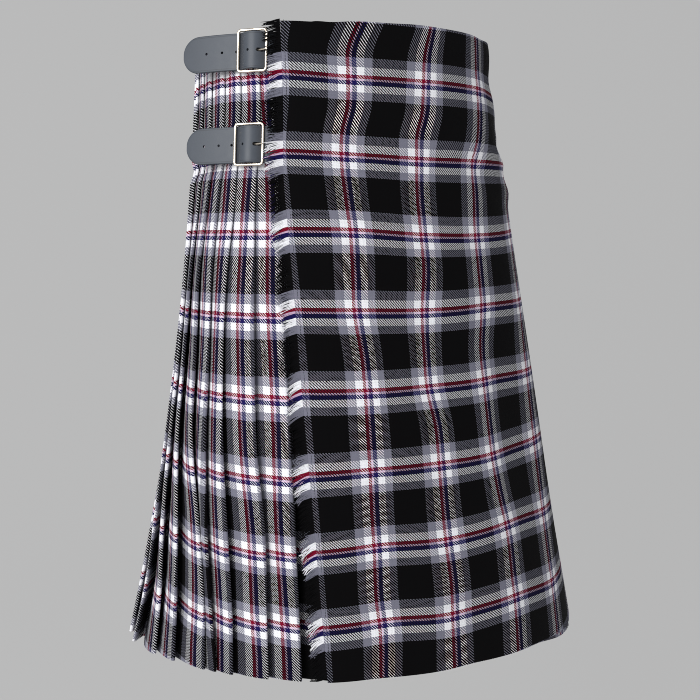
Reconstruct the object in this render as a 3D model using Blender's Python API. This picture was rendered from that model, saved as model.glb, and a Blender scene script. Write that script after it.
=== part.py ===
"""A knife-pleated kilt, buckled and held at the waist as if worn, with no wearer inside.

The waist opening's centre is the origin, +Z is up and the wearer faces -Y, with their right side at -X.
The cloth is one long strip. It runs from the fringed edge of the over apron at the right hip, across the
front, round the back in pleats, and on under the over apron as the under apron. Every point of it is
given by three numbers: how far down from the rim, how far round from the front (along the strip's
direction), and how far out from the garment's outer surface. place() turns these into x, y and z.
"""

import math

import bmesh
import bpy
import numpy as np
from mathutils import Matrix, Vector

MM = 0.001

# The cloth.
DROP = 600.0
CLOTH = 1.2
SEAM_GAP = 0.3
PLEATS = 27
LEFT_LENGTH_PLEATS = 13
CUT_HEIGHTS = (0, 60, 130, 185, 250, 340, 430, 515, DROP)
RING_POINTS = 1441

# The garment's outer surface: one row for each height, all in millimetres.
SHAPE_COLUMNS = ("down", "half_width", "half_depth", "centre_x", "centre_y", "squareness")
SHAPE = (
    (0, 153.0, 106.5, 0.0, 0.0, 2.48),
    (75, 161.5, 110.5, 3.2, -3.4, 2.43),
    (150, 170.7, 117.0, 6.1, -5.3, 2.39),
    (300, 192.3, 137.3, 11.4, -4.9, 2.30),
    (450, 217.9, 167.0, 15.9, 1.2, 2.21),
    (600, 247.6, 205.0, 19.5, 13.0, 2.13),
)

# Where the cloth ends and folds. apron_edge, apron_left and last_fold are distances round from the front,
# to the wearer's right, left and right. bunching draws the pleats together at the hips. depth is from the
# outer surface to the back of a pleat, underlap is how far a pleat runs back under its face, and lift is
# how far the over apron's edge stands out. Down to the fell the pleats are sewn flat. Below it they open.
FOLD_COLUMNS = (
    "down", "apron_edge", "apron_left", "last_fold", "bunching", "depth", "fold_radius", "underlap", "lift",
)
FOLDS = (
    (0, 110.0, 222.0, 118.0, 0.00, 6.8, 0.80, 14.0, 5.0),
    (150, 116.0, 245.0, 122.0, 0.00, 6.8, 0.80, 15.0, 4.6),
    (185, 116.0, 249.5, 123.5, 0.01, 7.3, 0.85, 16.0, 4.0),
    (250, 116.0, 258.0, 127.0, 0.03, 9.5, 1.00, 17.0, 3.4),
    (340, 117.0, 269.0, 130.0, 0.05, 12.0, 1.20, 18.0, 2.8),
    (450, 117.0, 282.0, 135.0, 0.07, 14.5, 1.40, 19.0, 2.8),
    (600, 118.0, 298.0, 141.0, 0.12, 17.0, 1.60, 20.0, 3.0),
)
FELL = 185.0
# Below the fell the pleats hang a little unevenly: how far their edges sway, how much their depths
# differ, and how fast both change from one pleat to the next.
SWAY = 2.2
SWAY_STEP = 2.4
DEPTH_SPREAD = 0.12
DEPTH_STEP = 1.7
# How a pleat's face rises from its back fold to its edge: share of the way across, share of the depth.
FACE_RISE = ((0.42, 0.40), (0.78, 0.84))
FOLD_ANGLES = (90, 30, -30, -90)

# The over apron's free edge, its turned-in left edge, and the under apron.
EDGE_LIFT_RUN = 62.0
APRON_FLAT_TO = 6.0
APRON_RETURN = 45.0
RETURN_STEP = 12.0
UNDER_APRON_OUT = -3.4
UNDER_APRON_RISE = 25.0
UNDER_APRON_SHORT = 60.0
APRON_STATIONS = 22
UNDER_STATIONS = 20

# The fringe on the over apron's edge.
FRINGE_LOCKS = 132
FRINGE_STRIP = 1.4
FRINGE_REACH = 15.5
FRINGE_DROOP = 4.0
FRINGE_UNEVEN = 2.2
FRINGE_THICK = 1.2
FRINGE_OUT = 0.2
LOCK_SHARE = 0.62
LOCK_TIP = ((-0.7, 0.4), (-0.7, -0.4), (0.7, -0.4), (0.7, 0.4))
LOCK_RISE = 0.5
LOCKS_A_FACE = 12
FRINGE_FROM_RIM = 1.0
FRINGE_FROM_HEM = 5.0
LOCK_FROM_HEM = 2.0
# Beside a buckle, a lock stops short of its frame and rises over the strap, at this slope.
FRINGE_CLEAR = 1.2
FRINGE_OVER_STRAP = 0.18
FRINGE_BESIDE_BUCKLE = 8.0

# The straps and buckles. Distances along a strap are from its buckle's centre bar, positive to its tip.
STRAP_COLUMNS = ("name", "down", "bar_round", "heading", "root", "tip")
STRAPS = (
    ("upper", 29.0, -134.0, -1, -42.0, 72.0),
    ("lower", 113.5, -144.5, -1, -52.5, 66.0),
    ("left", 29.0, 268.0, 1, -40.0, 72.0),
)
STRAP_WIDTH = 33.8
STRAP_THICK = 2.2
STRAP_FLAT_OUT = 2.9
STRAP_TIP_ROUND = 18.0
STRAP_STRAIGHT_FROM = 20.0
STRAP_BEND = 260.0
STRAP_TIP_ANGLES = (22, 42, 60, 75, 86)
STRAP_SHOULDER = 0.6
# Between these two distances the strap leaves the cloth's curve for its buckle's flat frame.
STRAP_LEAVES = (-22.0, -16.0)
# How a strap comes out from under the over apron's edge, from its root: distance along, distance out.
RIGHT_ROOT = ((0.0, -0.6), (18.0, 0.6))
LEFT_ROOT = ((0.0, -1.4), (4.0, -0.7), (8.0, 0.3), (12.0, 1.1), (18.0, 1.9))
# The left strap starts beside the over apron's slanting fold, all the way up its width.
LEFT_ROOT_GAP = 0.4
LEFT_ROOT_FADE = 30.0
# The strap's way over the centre bar: distance from the bar, and distance out.
STRAP_BULGE = ((12.8, 2.9), (10.5, 3.7), (7.0, 5.9), (3.5, 7.6), (0.0, 8.1))
BEFORE_BULGE = (-17.0, 2.6)
SLOT_WIDTH = 3.4
SLOT = (-11.5, -4.5)

FRAME_HEIGHT = 39.6
FRAME_LENGTH = 30.0
FRAME_BAR = 2.5
FRAME_THICK = 2.4
FRAME_OUT = 5.5
FRAME_CORNER = 4.0
FRAME_CORNER_STEPS = 4
FRAME_EDGE = 0.6
BAR_OUT = 4.4
BAR_RADIUS = 1.1
BAR_SIDES = 10
PRONG_THICK = 1.3
PRONG_WIDTH = 2.2
PRONG_TIP = -15.6
PRONG_RESTS = -12.0
PRONG_HOOK = range(35, -111, -29)
TAB_THICK = 0.9
TAB_WIDTH = 30.0
TAB_SLOT = 5.0
TAB_TAIL = 32.0
TAB_LIFT = 0.25
TAB_LOOP = range(-70, -291, -31)
# The tab's tail leaves the bar at these distances, and its short end turns back under the strap.
TAB_TAIL_STATIONS = (TAB_TAIL, TAB_TAIL - 10.0, 14.0)
TAB_NECK = (6.0, 0.6)
TAB_SHORT_END = ((4.6, 4.3), (7.6, 2.4))
# How far either side of a buckle its local frame is measured, along the strap and up.
SEAT_ALONG = 3.0
SEAT_UP = 15.0

CLOTH_COLOUR = (0.10, 0.10, 0.12)
FRINGE_COLOUR = (0.35, 0.35, 0.38)
LEATHER_COLOUR = (0.13, 0.16, 0.19)
NICKEL_COLOUR = (0.80, 0.76, 0.70)


def clear_scene():
    for obj in list(bpy.data.objects):
        bpy.data.objects.remove(obj, do_unlink=True)


def material(name, colour, roughness, metallic=0.0):
    made = bpy.data.materials.new(name)
    made.use_nodes = True
    shader = made.node_tree.nodes["Principled BSDF"]
    shader.inputs["Base Color"].default_value = (*colour, 1.0)
    shader.inputs["Roughness"].default_value = roughness
    shader.inputs["Metallic"].default_value = metallic
    return made


def read_table(columns, rows, down):
    """The row of a table at one height, as a dict, on a smooth curve through the rows."""
    heights = np.array([row[0] for row in rows], float)
    found = {"down": down}
    for index, name in enumerate(columns[1:], start=1):
        values = np.array([row[index] for row in rows], float)
        slopes = np.gradient(values, heights)
        low = int(np.clip(np.searchsorted(heights, down) - 1, 0, len(rows) - 2))
        span = heights[low + 1] - heights[low]
        t = (down - heights[low]) / span
        found[name] = float(
            values[low] * (1 + 2 * t) * (1 - t) ** 2
            + slopes[low] * span * t * (1 - t) ** 2
            + values[low + 1] * t * t * (3 - 2 * t)
            + slopes[low + 1] * span * t * t * (t - 1)
        )
    return found


def smooth_step(share):
    return share * share * (3 - 2 * share)


def opened(down):
    """How far the pleats are open: none down to the fell, and fully at the hem."""
    return max(0.0, down - FELL) / (DROP - FELL)


RINGS = {}


def ring(down):
    """The outer surface at one height: points, outward normals and distance round, from the front."""
    key = round(down, 3)
    if key not in RINGS:
        row = read_table(SHAPE_COLUMNS, SHAPE, down)
        turn = np.linspace(0, 2 * math.pi, RING_POINTS) - math.pi / 2
        power = 2 / row["squareness"]
        x = row["half_width"] * np.sign(np.cos(turn)) * np.abs(np.cos(turn)) ** power
        y = row["half_depth"] * np.sign(np.sin(turn)) * np.abs(np.sin(turn)) ** power
        x, y = x + row["centre_x"], y + row["centre_y"]
        round_ = np.concatenate([[0.0], np.cumsum(np.hypot(np.diff(x), np.diff(y)))])
        along_x = np.gradient(x[:-1], edge_order=1)
        along_y = np.gradient(y[:-1], edge_order=1)
        along_x[0], along_y[0] = x[1] - x[-2], y[1] - y[-2]
        along_x[-1], along_y[-1] = x[0] - x[-3], y[0] - y[-3]
        along_x, along_y = np.append(along_x, along_x[0]), np.append(along_y, along_y[0])
        length = np.hypot(along_x, along_y)
        RINGS[key] = (x, y, along_y / length, -along_x / length, round_)
    return RINGS[key]


def place(down, round_, out):
    """A point, in metres, from its distances down, round and out in millimetres."""
    x, y, normal_x, normal_y, distance = ring(down)
    where = round_ % distance[-1]
    nx, ny = np.interp(where, distance, normal_x), np.interp(where, distance, normal_y)
    size = math.hypot(nx, ny)
    px = np.interp(where, distance, x) + nx / size * out
    py = np.interp(where, distance, y) + ny / size * out
    return (px * MM, py * MM, -down * MM)


def offset(path, distance):
    """The path moved sideways by a distance, to its left where that is positive."""
    path = np.array(path, float)
    steps = np.diff(path, axis=0)
    steps /= np.linalg.norm(steps, axis=1)[:, None]
    sides = np.stack([-steps[:, 1], steps[:, 0]], axis=1)
    first, last = np.vstack([sides[:1], sides]), np.vstack([sides, sides[-1:]])
    mitre = (first + last) / (1 + (first * last).sum(axis=1))[:, None]
    return path + mitre * distance


def mesh_object(name, points, faces, made_of):
    mesh = bpy.data.meshes.new(name)
    mesh.from_pydata(points, [], faces)
    shaped = bmesh.new()
    shaped.from_mesh(mesh)
    loose = [vertex for vertex in shaped.verts if not vertex.link_faces]
    bmesh.ops.delete(shaped, geom=loose, context="VERTS")
    bmesh.ops.recalc_face_normals(shaped, faces=shaped.faces)
    shaped.to_mesh(mesh)
    shaped.free()
    mesh.materials.append(made_of)
    mesh.shade_smooth()
    mesh.set_sharp_from_angle(angle=math.radians(40))
    made = bpy.data.objects.new(name, mesh)
    bpy.context.scene.collection.objects.link(made)
    return made


def wall(name, outer, inner, made_of, holes=()):
    """A closed wall between two grids of points. A hole is a cell, (row, column), that is left out."""
    rows, columns = len(outer), len(outer[0])
    points = [point for grid in (outer, inner) for row in grid for point in row]

    def corner(side, row, column):
        return (side * rows + row) * columns + column

    cells = {(row, column) for row in range(rows - 1) for column in range(columns - 1)} - set(holes)
    faces = []
    for row, column in sorted(cells):
        loop = ((row, column), (row, column + 1), (row + 1, column + 1), (row + 1, column))
        # Both sides are split along the same diagonal, so that a twisted cell keeps its thickness.
        for triangle in ((0, 1, 2), (0, 2, 3)):
            faces.append([corner(0, *loop[at]) for at in triangle])
            faces.append([corner(1, *loop[at]) for at in reversed(triangle)])
        beyond = ((row - 1, column), (row, column + 1), (row + 1, column), (row, column - 1))
        for index, neighbour in enumerate(beyond):
            if neighbour not in cells:
                start, end = loop[index], loop[(index + 1) % 4]
                faces.append([corner(0, *start), corner(1, *start), corner(1, *end), corner(0, *end)])
    return mesh_object(name, points, faces, made_of)


def fold_edges(down):
    """Each fold's distance round, from the over apron's left edge (0) to the last pleat at the right."""
    row = read_table(FOLD_COLUMNS, FOLDS, down)
    length = ring(down)[4][-1]
    share = np.arange(PLEATS + 1) / PLEATS
    eased = share - row["bunching"] * np.sin(2 * math.pi * share) / (2 * math.pi)
    sway = SWAY * opened(down) * np.sin(np.arange(PLEATS + 1) * SWAY_STEP)
    sway[0] = sway[-1] = 0.0
    return row["apron_left"] + (length - row["apron_left"] - row["last_fold"]) * eased + sway


def edge_lift(round_, row):
    """How far the over apron stands out near its free edge, over the straps."""
    near = np.clip(1 - (round_ + row["apron_edge"]) / EDGE_LIFT_RUN, 0, 1)
    return row["lift"] * smooth_step(near)


def turn_back(centre, radius, outward):
    """Four points of a fold, a half circle. An outward fold opens backward, an inward one forward."""
    sign = 1 if outward else -1
    return [
        (
            centre[0] + sign * radius * math.cos(math.radians(angle)),
            centre[1] + radius * math.sin(math.radians(angle)),
        )
        for angle in FOLD_ANGLES
    ]


def strip(down):
    """The middle line of the whole strip at one height, with the stations where its lengths are seamed."""
    row = read_table(FOLD_COLUMNS, FOLDS, down)
    radius, half = row["fold_radius"], CLOTH / 2
    edges = fold_edges(down)
    across = np.linspace(-row["apron_edge"], edges[0] - APRON_FLAT_TO, APRON_STATIONS)
    line = [(at, edge_lift(at, row) - half) for at in across]
    seams = []
    for index, edge in enumerate(edges):
        depth = row["depth"] * (1 + DEPTH_SPREAD * opened(down) * math.sin(index * DEPTH_STEP))
        top, back = -half, -depth + half
        under = APRON_RETURN if index == 0 else row["underlap"]
        line += turn_back((edge - radius, top - radius), radius, True)
        if index == 0:
            line.append((edge - under + RETURN_STEP, back + 2 * radius))
        if index in (0, LEFT_LENGTH_PLEATS, PLEATS):
            seams.append(len(line))
        line += turn_back((edge - under + radius, back + radius), radius, False)
        if index == PLEATS:
            break
        if index == 0:
            line.append((edge - row["underlap"], back))
        ahead = edges[index + 1] - radius
        start = edge - row["underlap"] + radius
        line += [
            (start + (ahead - start) * share, back + (top - back) * rise)
            for share, rise in FACE_RISE
        ]
    end = ring(down)[4][-1] + edges[0] - UNDER_APRON_SHORT
    start = edges[-1] + UNDER_APRON_RISE
    line += [(at, UNDER_APRON_OUT) for at in np.linspace(start, end, UNDER_STATIONS)]
    return line, seams


def cloth_lengths(made_of):
    """The strip's four lengths, each a folded wall from rim to hem."""
    names = ("over_apron", "pleats_left", "pleats_right", "under_apron")
    lines = [strip(down) for down in CUT_HEIGHTS]
    seams = lines[0][1]
    spans = list(zip([0] + seams, seams + [len(lines[0][0])]))
    for name, (first, last) in zip(names, spans):
        outer, inner = [], []
        for down, (line, _) in zip(CUT_HEIGHTS, lines):
            part = [np.array(point) for point in line[first:last]]
            if first:
                step = np.array(line[first]) - np.array(line[first - 1])
                step *= SEAM_GAP / np.linalg.norm(step)
                part = [np.array(line[first - 1]) + step] + part
            outer.append([place(down, *point) for point in offset(part, -CLOTH / 2)])
            inner.append([place(down, *point) for point in offset(part, CLOTH / 2)])
        wall(name, outer, inner, made_of)


def fringe(made_of):
    """A narrow strip beside the over apron's edge, with a lock at each step, in one mesh."""
    pitch = (DROP - FRINGE_FROM_RIM - FRINGE_FROM_HEM) / FRINGE_LOCKS
    half = FRINGE_THICK / 2
    points, faces = [], []

    def edge_at(down):
        row = read_table(FOLD_COLUMNS, FOLDS, down)
        return -row["apron_edge"] - SEAM_GAP, row["lift"] - CLOTH / 2 + FRINGE_OUT

    def pair(down, beyond):
        edge, out = edge_at(down)
        points.extend([place(down, edge - beyond, out + half), place(down, edge - beyond, out - half)])
        return len(points) - 2, len(points) - 1

    levels = []
    for index in range(FRINGE_LOCKS):
        levels += [FRINGE_FROM_RIM + (index + share) * pitch for share in (0, LOCK_SHARE)]
    roots = [pair(down, FRINGE_STRIP) for down in levels]
    stops = list(range(0, len(levels), 2 * LOCKS_A_FACE)) + [len(levels) - 1]
    seams = [pair(levels[stop], 0) for stop in stops]
    for step, (low, high) in enumerate(zip(stops, stops[1:])):
        for side in (0, 1):
            run = [root[side] for root in roots[low : high + 1]]
            faces.append(run + [seams[step + 1][side], seams[step][side]])
        faces.append([*seams[step], *reversed(seams[step + 1])])
    for end in (0, -1):
        faces.append([roots[end][0], seams[end][0], seams[end][1], roots[end][1]])
    for index in range(FRINGE_LOCKS):
        top, foot = roots[2 * index], roots[2 * index + 1]
        middle = (levels[2 * index] + levels[2 * index + 1]) / 2
        tip = lock_tip(index, middle, *edge_at(levels[2 * index]))
        first = len(points)
        points.extend(tip)
        ends = [first, first + 1, first + 2, first + 3]
        root = [top[0], top[1], foot[1], foot[0]]
        for side in range(4):
            ahead = (side + 1) % 4
            faces.append([root[side], root[ahead], ends[ahead], ends[side]])
        faces.append(ends)
        if index + 1 < FRINGE_LOCKS:
            faces.append([*foot, *reversed(roots[2 * index + 2])])
    return mesh_object("apron_fringe", points, faces, made_of)


def lock_tip(index, down, edge, out):
    """The four points of a fringe lock's tip. Beside a buckle the lock is short and rides over the strap."""
    reach = FRINGE_REACH + FRINGE_UNEVEN * math.sin(index * 2.39) * math.cos(index * 0.7)
    rise = LOCK_RISE
    for _, strap_down, bar_round, heading, _, _ in STRAPS:
        beside = FRAME_HEIGHT / 2 + FRINGE_BESIDE_BUCKLE
        if heading < 0 and abs(down + FRINGE_DROOP / 2 - strap_down) < beside:
            reach = min(reach, edge - FRINGE_STRIP - bar_round - FRAME_LENGTH / 2 - FRINGE_CLEAR)
            rise = LOCK_RISE + FRINGE_OVER_STRAP * reach
    end = edge - FRINGE_STRIP - reach
    low = min(down + FRINGE_DROOP * reach / FRINGE_REACH, DROP - LOCK_FROM_HEM)
    return [place(low + along, end, out + rise + across) for along, across in LOCK_TIP]


def seat(down, round_, heading):
    """A local frame on the cloth: +X runs toward the strap's tip, +Y up and +Z straight out."""
    here = np.array(place(down, round_, 0))
    ahead, behind = (place(down, round_ + side * heading * SEAT_ALONG, 0) for side in (1, -1))
    above, below = (place(down - side * SEAT_UP, round_, 0) for side in (1, -1))
    along, up = np.subtract(ahead, behind), np.subtract(above, below)
    along /= np.linalg.norm(along)
    up -= along * up.dot(along)
    up /= np.linalg.norm(up)
    out = np.cross(along, up) * heading
    return Matrix([[along[i], up[i], out[i], here[i]] for i in range(3)] + [[0, 0, 0, 1]])


def cloth_below(row, frame, along):
    """How far out the cloth's surface lies in a buckle's frame, at a distance from its centre bar."""
    _, down, bar_round, heading = row[:4]
    at = frame.inverted() @ Vector(place(down, bar_round + heading * along, 0))
    return at.z / MM


def strap_line(row):
    """The strap's middle line: distance along it from the centre bar, and distance out."""
    name, root, tip = row[0], row[4], row[5]
    start = LEFT_ROOT if name == "left" else RIGHT_ROOT
    start = [(root + at, out) for at, out in start] + [BEFORE_BULGE]
    bulge = [(-at, out) for at, out in STRAP_BULGE[:-1]] + list(reversed(STRAP_BULGE))
    straight = tip - STRAP_TIP_ROUND
    free = list(np.linspace(STRAP_STRAIGHT_FROM, straight, 5))
    free += [straight + STRAP_TIP_ROUND * math.sin(math.radians(angle)) for angle in STRAP_TIP_ANGLES]
    hug = [(at, STRAP_FLAT_OUT - (at - STRAP_STRAIGHT_FROM) ** 2 / (2 * STRAP_BEND)) for at in free]
    return start + bulge + hug


def half_width(along, tip):
    """Half the strap's width, which rounds off at its tip."""
    into = max(0.0, (along - (tip - STRAP_TIP_ROUND)) / STRAP_TIP_ROUND)
    return STRAP_WIDTH / 2 * math.sqrt(max(0.0, 1 - into * into))


def strap_point(row, frame, along, up, out):
    """A point of a strap. Its root follows the cloth, and from its buckle on it follows the buckle."""
    name, down, bar_round, heading, root, _ = row
    round_ = bar_round + heading * along
    if name == "left":
        fold = read_table(FOLD_COLUMNS, FOLDS, down - up)["apron_left"] + CLOTH / 2 + LEFT_ROOT_GAP
        round_ += (fold - bar_round - root) * max(0.0, 1 - (along - root) / LEFT_ROOT_FADE)
    on_cloth = Vector(place(down - up, round_, out))
    on_buckle = frame @ (Vector((along, up, out)) * MM)
    start, end = STRAP_LEAVES
    return on_cloth.lerp(on_buckle, min(1.0, max(0.0, (along - start) / (end - start))))


def strap(row, frame, made_of):
    line = strap_line(row)
    slot = SLOT_WIDTH / STRAP_WIDTH
    shares = (-1, -STRAP_SHOULDER, -slot, slot, STRAP_SHOULDER, 1)
    grids = []
    for side in (1, -1):
        moved = offset(line, side * STRAP_THICK / 2)
        widths = [half_width(at, row[5]) for at, _ in line]
        grids.append(
            [
                [strap_point(row, frame, at, share * width, out) for (at, out), width in zip(moved, widths)]
                for share in shares
            ]
        )
    middles = [(start[0] + end[0]) / 2 for start, end in zip(line, line[1:])]
    holes = [(2, column) for column, at in enumerate(middles) if SLOT[0] < at < SLOT[1]]
    return wall(f"strap_{row[0]}", grids[0], grids[1], made_of, holes)


def rounded_rectangle(length, height, corner):
    outline, steps = [], FRAME_CORNER_STEPS
    for turn, (side_x, side_y) in enumerate(((1, 1), (-1, 1), (-1, -1), (1, -1))):
        for step in range(steps + 1):
            angle = math.radians(90 * turn + 90 * step / steps)
            x = side_x * (length / 2 - corner) + corner * math.cos(angle)
            y = side_y * (height / 2 - corner) + corner * math.sin(angle)
            outline.append((x, y))
    return outline


def put(made, frame):
    """Moves a piece made in millimetres on a strap's local frame to its place."""
    made.data.transform(frame @ Matrix.Scale(MM, 4))
    if frame.determinant() < 0:
        made.data.flip_normals()
    return made


def buckle(name, frame, made_of):
    """The buckle's frame, a rounded rectangle, with its centre bar joined on."""
    half, edge = FRAME_THICK / 2, FRAME_EDGE
    outer = rounded_rectangle(FRAME_LENGTH, FRAME_HEIGHT, FRAME_CORNER)
    hole = (FRAME_LENGTH - 2 * FRAME_BAR, FRAME_HEIGHT - 2 * FRAME_BAR)
    inner = rounded_rectangle(*hole, FRAME_CORNER - FRAME_BAR + edge)
    middle = [((a[0] + b[0]) / 2, (a[1] + b[1]) / 2) for a, b in zip(outer, inner)]

    def toward(start, end, distance):
        gap = math.dist(start, end)
        return tuple(start[i] + (end[i] - start[i]) * distance / gap for i in range(2))

    section = [
        [(*at, FRAME_OUT - half + edge) for at in outer],
        [(*at, FRAME_OUT + half - edge) for at in outer],
        [(*toward(a, b, edge), FRAME_OUT + half) for a, b in zip(outer, middle)],
        [(*toward(a, b, edge), FRAME_OUT + half) for a, b in zip(inner, middle)],
        [(*at, FRAME_OUT + half - edge) for at in inner],
        [(*at, FRAME_OUT - half + edge) for at in inner],
        [(*toward(a, b, edge), FRAME_OUT - half) for a, b in zip(inner, middle)],
        [(*toward(a, b, edge), FRAME_OUT - half) for a, b in zip(outer, middle)],
    ]
    count, ways = len(outer), len(section)
    points = [point for loop in section for point in loop]
    faces = []
    for way in range(ways):
        for step in range(count):
            ahead, over = (step + 1) % count, (way + 1) % ways
            faces.append([way * count + step, way * count + ahead, over * count + ahead, over * count + step])
    body = mesh_object(f"buckle_{name}", points, faces, made_of)

    rod = bmesh.new()
    upright = Matrix.Translation((0, 0, BAR_OUT)) @ Matrix.Rotation(math.radians(90), 4, "X")
    bmesh.ops.create_cone(
        rod, cap_ends=True, segments=BAR_SIDES, radius1=BAR_RADIUS, radius2=BAR_RADIUS,
        depth=FRAME_HEIGHT - FRAME_BAR, matrix=upright,
    )
    bar_mesh = bpy.data.meshes.new(f"bar_{name}")
    rod.to_mesh(bar_mesh)
    rod.free()
    bar = bpy.data.objects.new(f"bar_{name}", bar_mesh)
    bpy.context.scene.collection.objects.link(bar)
    join = body.modifiers.new("centre bar", "BOOLEAN")
    join.operation = "UNION"
    join.object = bar
    bpy.context.view_layer.update()
    joined = bpy.data.meshes.new_from_object(body.evaluated_get(bpy.context.evaluated_depsgraph_get()))
    body.modifiers.clear()
    body.data = joined
    bpy.data.objects.remove(bar, do_unlink=True)
    return put(body, frame)


def bent_strip(name, line, widths, thick, frame, made_of, holes=()):
    """A strip of metal or leather bent along a line, with its cross stations at the given widths."""
    sides = [offset(line, side * thick / 2) for side in (1, -1)]
    grids = [[[(at, width, out) for at, out in side] for width in widths] for side in sides]
    return put(wall(name, grids[0], grids[1], made_of, holes), frame)


def prong(name, frame, made_of):
    """The prong hooks round the centre bar, comes up through the strap and rests on the frame."""
    radius = BAR_RADIUS + SEAM_GAP + PRONG_THICK / 2
    hook = [
        (radius * math.cos(math.radians(angle)), BAR_OUT + radius * math.sin(math.radians(angle)))
        for angle in PRONG_HOOK
    ]
    rest = FRAME_OUT + FRAME_THICK / 2 + SEAM_GAP + PRONG_THICK / 2
    reach = [(PRONG_RESTS, rest), (PRONG_TIP, rest)]
    half = PRONG_WIDTH / 2
    return bent_strip(f"prong_{name}", hook + reach, (-half, half), PRONG_THICK, frame, made_of)


def tab(row, frame, made_of):
    """The tab that holds the buckle: sewn to the pleats, it loops round the centre bar."""
    low = SEAM_GAP + TAB_THICK / 2
    radius = BAR_RADIUS + SEAM_GAP + TAB_THICK / 2
    loop = [
        (radius * math.cos(math.radians(angle)), BAR_OUT + radius * math.sin(math.radians(angle)))
        for angle in TAB_LOOP
    ]
    tail = [(at, low + TAB_LIFT + cloth_below(row, frame, at)) for at in TAB_TAIL_STATIONS]
    tail.append((TAB_NECK[0], low + TAB_NECK[1]))
    line = tail + loop + list(TAB_SHORT_END)
    half, slot = TAB_WIDTH / 2, TAB_SLOT / 2
    first, last = len(tail) - 1, len(tail) + len(loop) - 1
    holes = [(1, column) for column in range(first, last + 1)]
    return bent_strip(f"tab_{row[0]}", line, (-half, -slot, slot, half), TAB_THICK, frame, made_of, holes)


def main():
    clear_scene()
    cloth = material("tartan_cloth", CLOTH_COLOUR, 0.9)
    loose_ends = material("fringe_yarn", FRINGE_COLOUR, 0.95)
    leather = material("strap_leather", LEATHER_COLOUR, 0.55)
    nickel = material("buckle_nickel", NICKEL_COLOUR, 0.2, 1.0)
    cloth_lengths(cloth)
    fringe(loose_ends)
    for row in STRAPS:
        name, down, bar_round, heading = row[:4]
        frame = seat(down, bar_round, heading)
        strap(row, frame, leather)
        tab(row, frame, leather)
        buckle(name, frame, nickel)
        prong(name, frame, nickel)


main()
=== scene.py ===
# %% [markdown]
# # A knife-pleated kilt
#
# The real garment is one long strip of wool twill, woven in a check of black, grey, white, red and navy.
# The strip starts at a fringed edge on the wearer's right hip and crosses the front flat. It goes round the
# back in sharp pleats and ends flat under the front again. Leather straps with small buckles hold it.
#
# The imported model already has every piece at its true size. This script keeps that form, gives the cloth
# its finer folds, and builds the yarns, leather and metal that a plain solid can't show.

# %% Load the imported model
import math
from collections import namedtuple
from functools import partial

import bmesh
import bpy
import numpy as np
from mathutils import Matrix, Vector


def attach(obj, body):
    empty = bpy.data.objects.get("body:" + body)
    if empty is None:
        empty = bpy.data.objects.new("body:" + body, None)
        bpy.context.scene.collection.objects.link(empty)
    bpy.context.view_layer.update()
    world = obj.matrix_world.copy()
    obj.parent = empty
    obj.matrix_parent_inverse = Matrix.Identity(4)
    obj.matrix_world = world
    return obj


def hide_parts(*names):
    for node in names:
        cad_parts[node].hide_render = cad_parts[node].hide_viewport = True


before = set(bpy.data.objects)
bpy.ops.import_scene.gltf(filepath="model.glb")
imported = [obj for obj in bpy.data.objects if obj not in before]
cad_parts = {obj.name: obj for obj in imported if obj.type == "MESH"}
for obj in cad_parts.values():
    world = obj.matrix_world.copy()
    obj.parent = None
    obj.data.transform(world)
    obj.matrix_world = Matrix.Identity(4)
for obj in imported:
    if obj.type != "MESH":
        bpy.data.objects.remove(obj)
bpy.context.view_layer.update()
MM = 0.001

# %% [markdown]
# ## The camera
#
# The kilt is seen from a little to the wearer's right, from just above its middle. A camera can be turned
# by hand until it looks right, or aimed with a constraint. Here its place and its line of sight are worked
# out from the garment's own sizes, so they are simply stated.

# %% The camera
CAMERA_PLACE = (-0.4036, -0.8755, -0.2018)
LINE_OF_SIGHT = (0.4196, 0.8998, -0.1200)
LENS, LENS_SHIFT = 45.83, 0.0024

camera_data = bpy.data.cameras.new("camera")
camera_data.lens, camera_data.shift_x = LENS, LENS_SHIFT
camera = bpy.data.objects.new("camera", camera_data)
camera.location = CAMERA_PLACE
camera.rotation_euler = Vector(LINE_OF_SIGHT).to_track_quat("-Z", "Y").to_euler()
bpy.context.scene.collection.objects.link(camera)
bpy.context.scene.camera = camera
print("lens", camera_data.lens, "mm")

# %% [markdown]
# ## The garment's form
#
# Every point of the cloth is given by three distances in millimetres: down from the rim, round from the
# middle of the front, and out from the garment's outer surface. The surface is a stack of rounded ovals.
# A stack of ovals is easier to fit to a real waist and hem than a mesh pushed about by hand, and the fold
# tables can then speak a maker's language: where an edge lies, how deep a pleat is, how far it laps under.

# %% The ovals, in millimetres from the rim down
DROP = 600.0
SHAPE_COLUMNS = ("down", "half_width", "half_depth", "centre_x", "centre_y", "squareness")
SHAPE = (
    (0, 153.0, 106.5, 0.0, 0.0, 2.48),
    (75, 161.5, 110.5, 3.2, -3.4, 2.43),
    (150, 170.7, 117.0, 6.1, -5.3, 2.39),
    (300, 192.3, 137.3, 11.4, -4.9, 2.30),
    (450, 217.9, 167.0, 15.9, 1.2, 2.21),
    (600, 247.6, 205.0, 19.5, 13.0, 2.13),
)


def smooth_curve(at, known, values):
    """Values at some places, on a smooth curve through the known ones. Beyond its ends it stays level."""
    known, values = np.asarray(known, float), np.asarray(values, float)
    at = np.clip(at, known[0], known[-1])
    slopes = np.gradient(values, known)
    low = np.clip(np.searchsorted(known, at) - 1, 0, len(known) - 2)
    span = known[low + 1] - known[low]
    t = (at - known[low]) / span
    return (
        values[low] * (1 + 2 * t) * (1 - t) ** 2
        + slopes[low] * span * t * (1 - t) ** 2
        + values[low + 1] * t * t * (3 - 2 * t)
        + slopes[low + 1] * span * t * t * (t - 1)
    )


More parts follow.
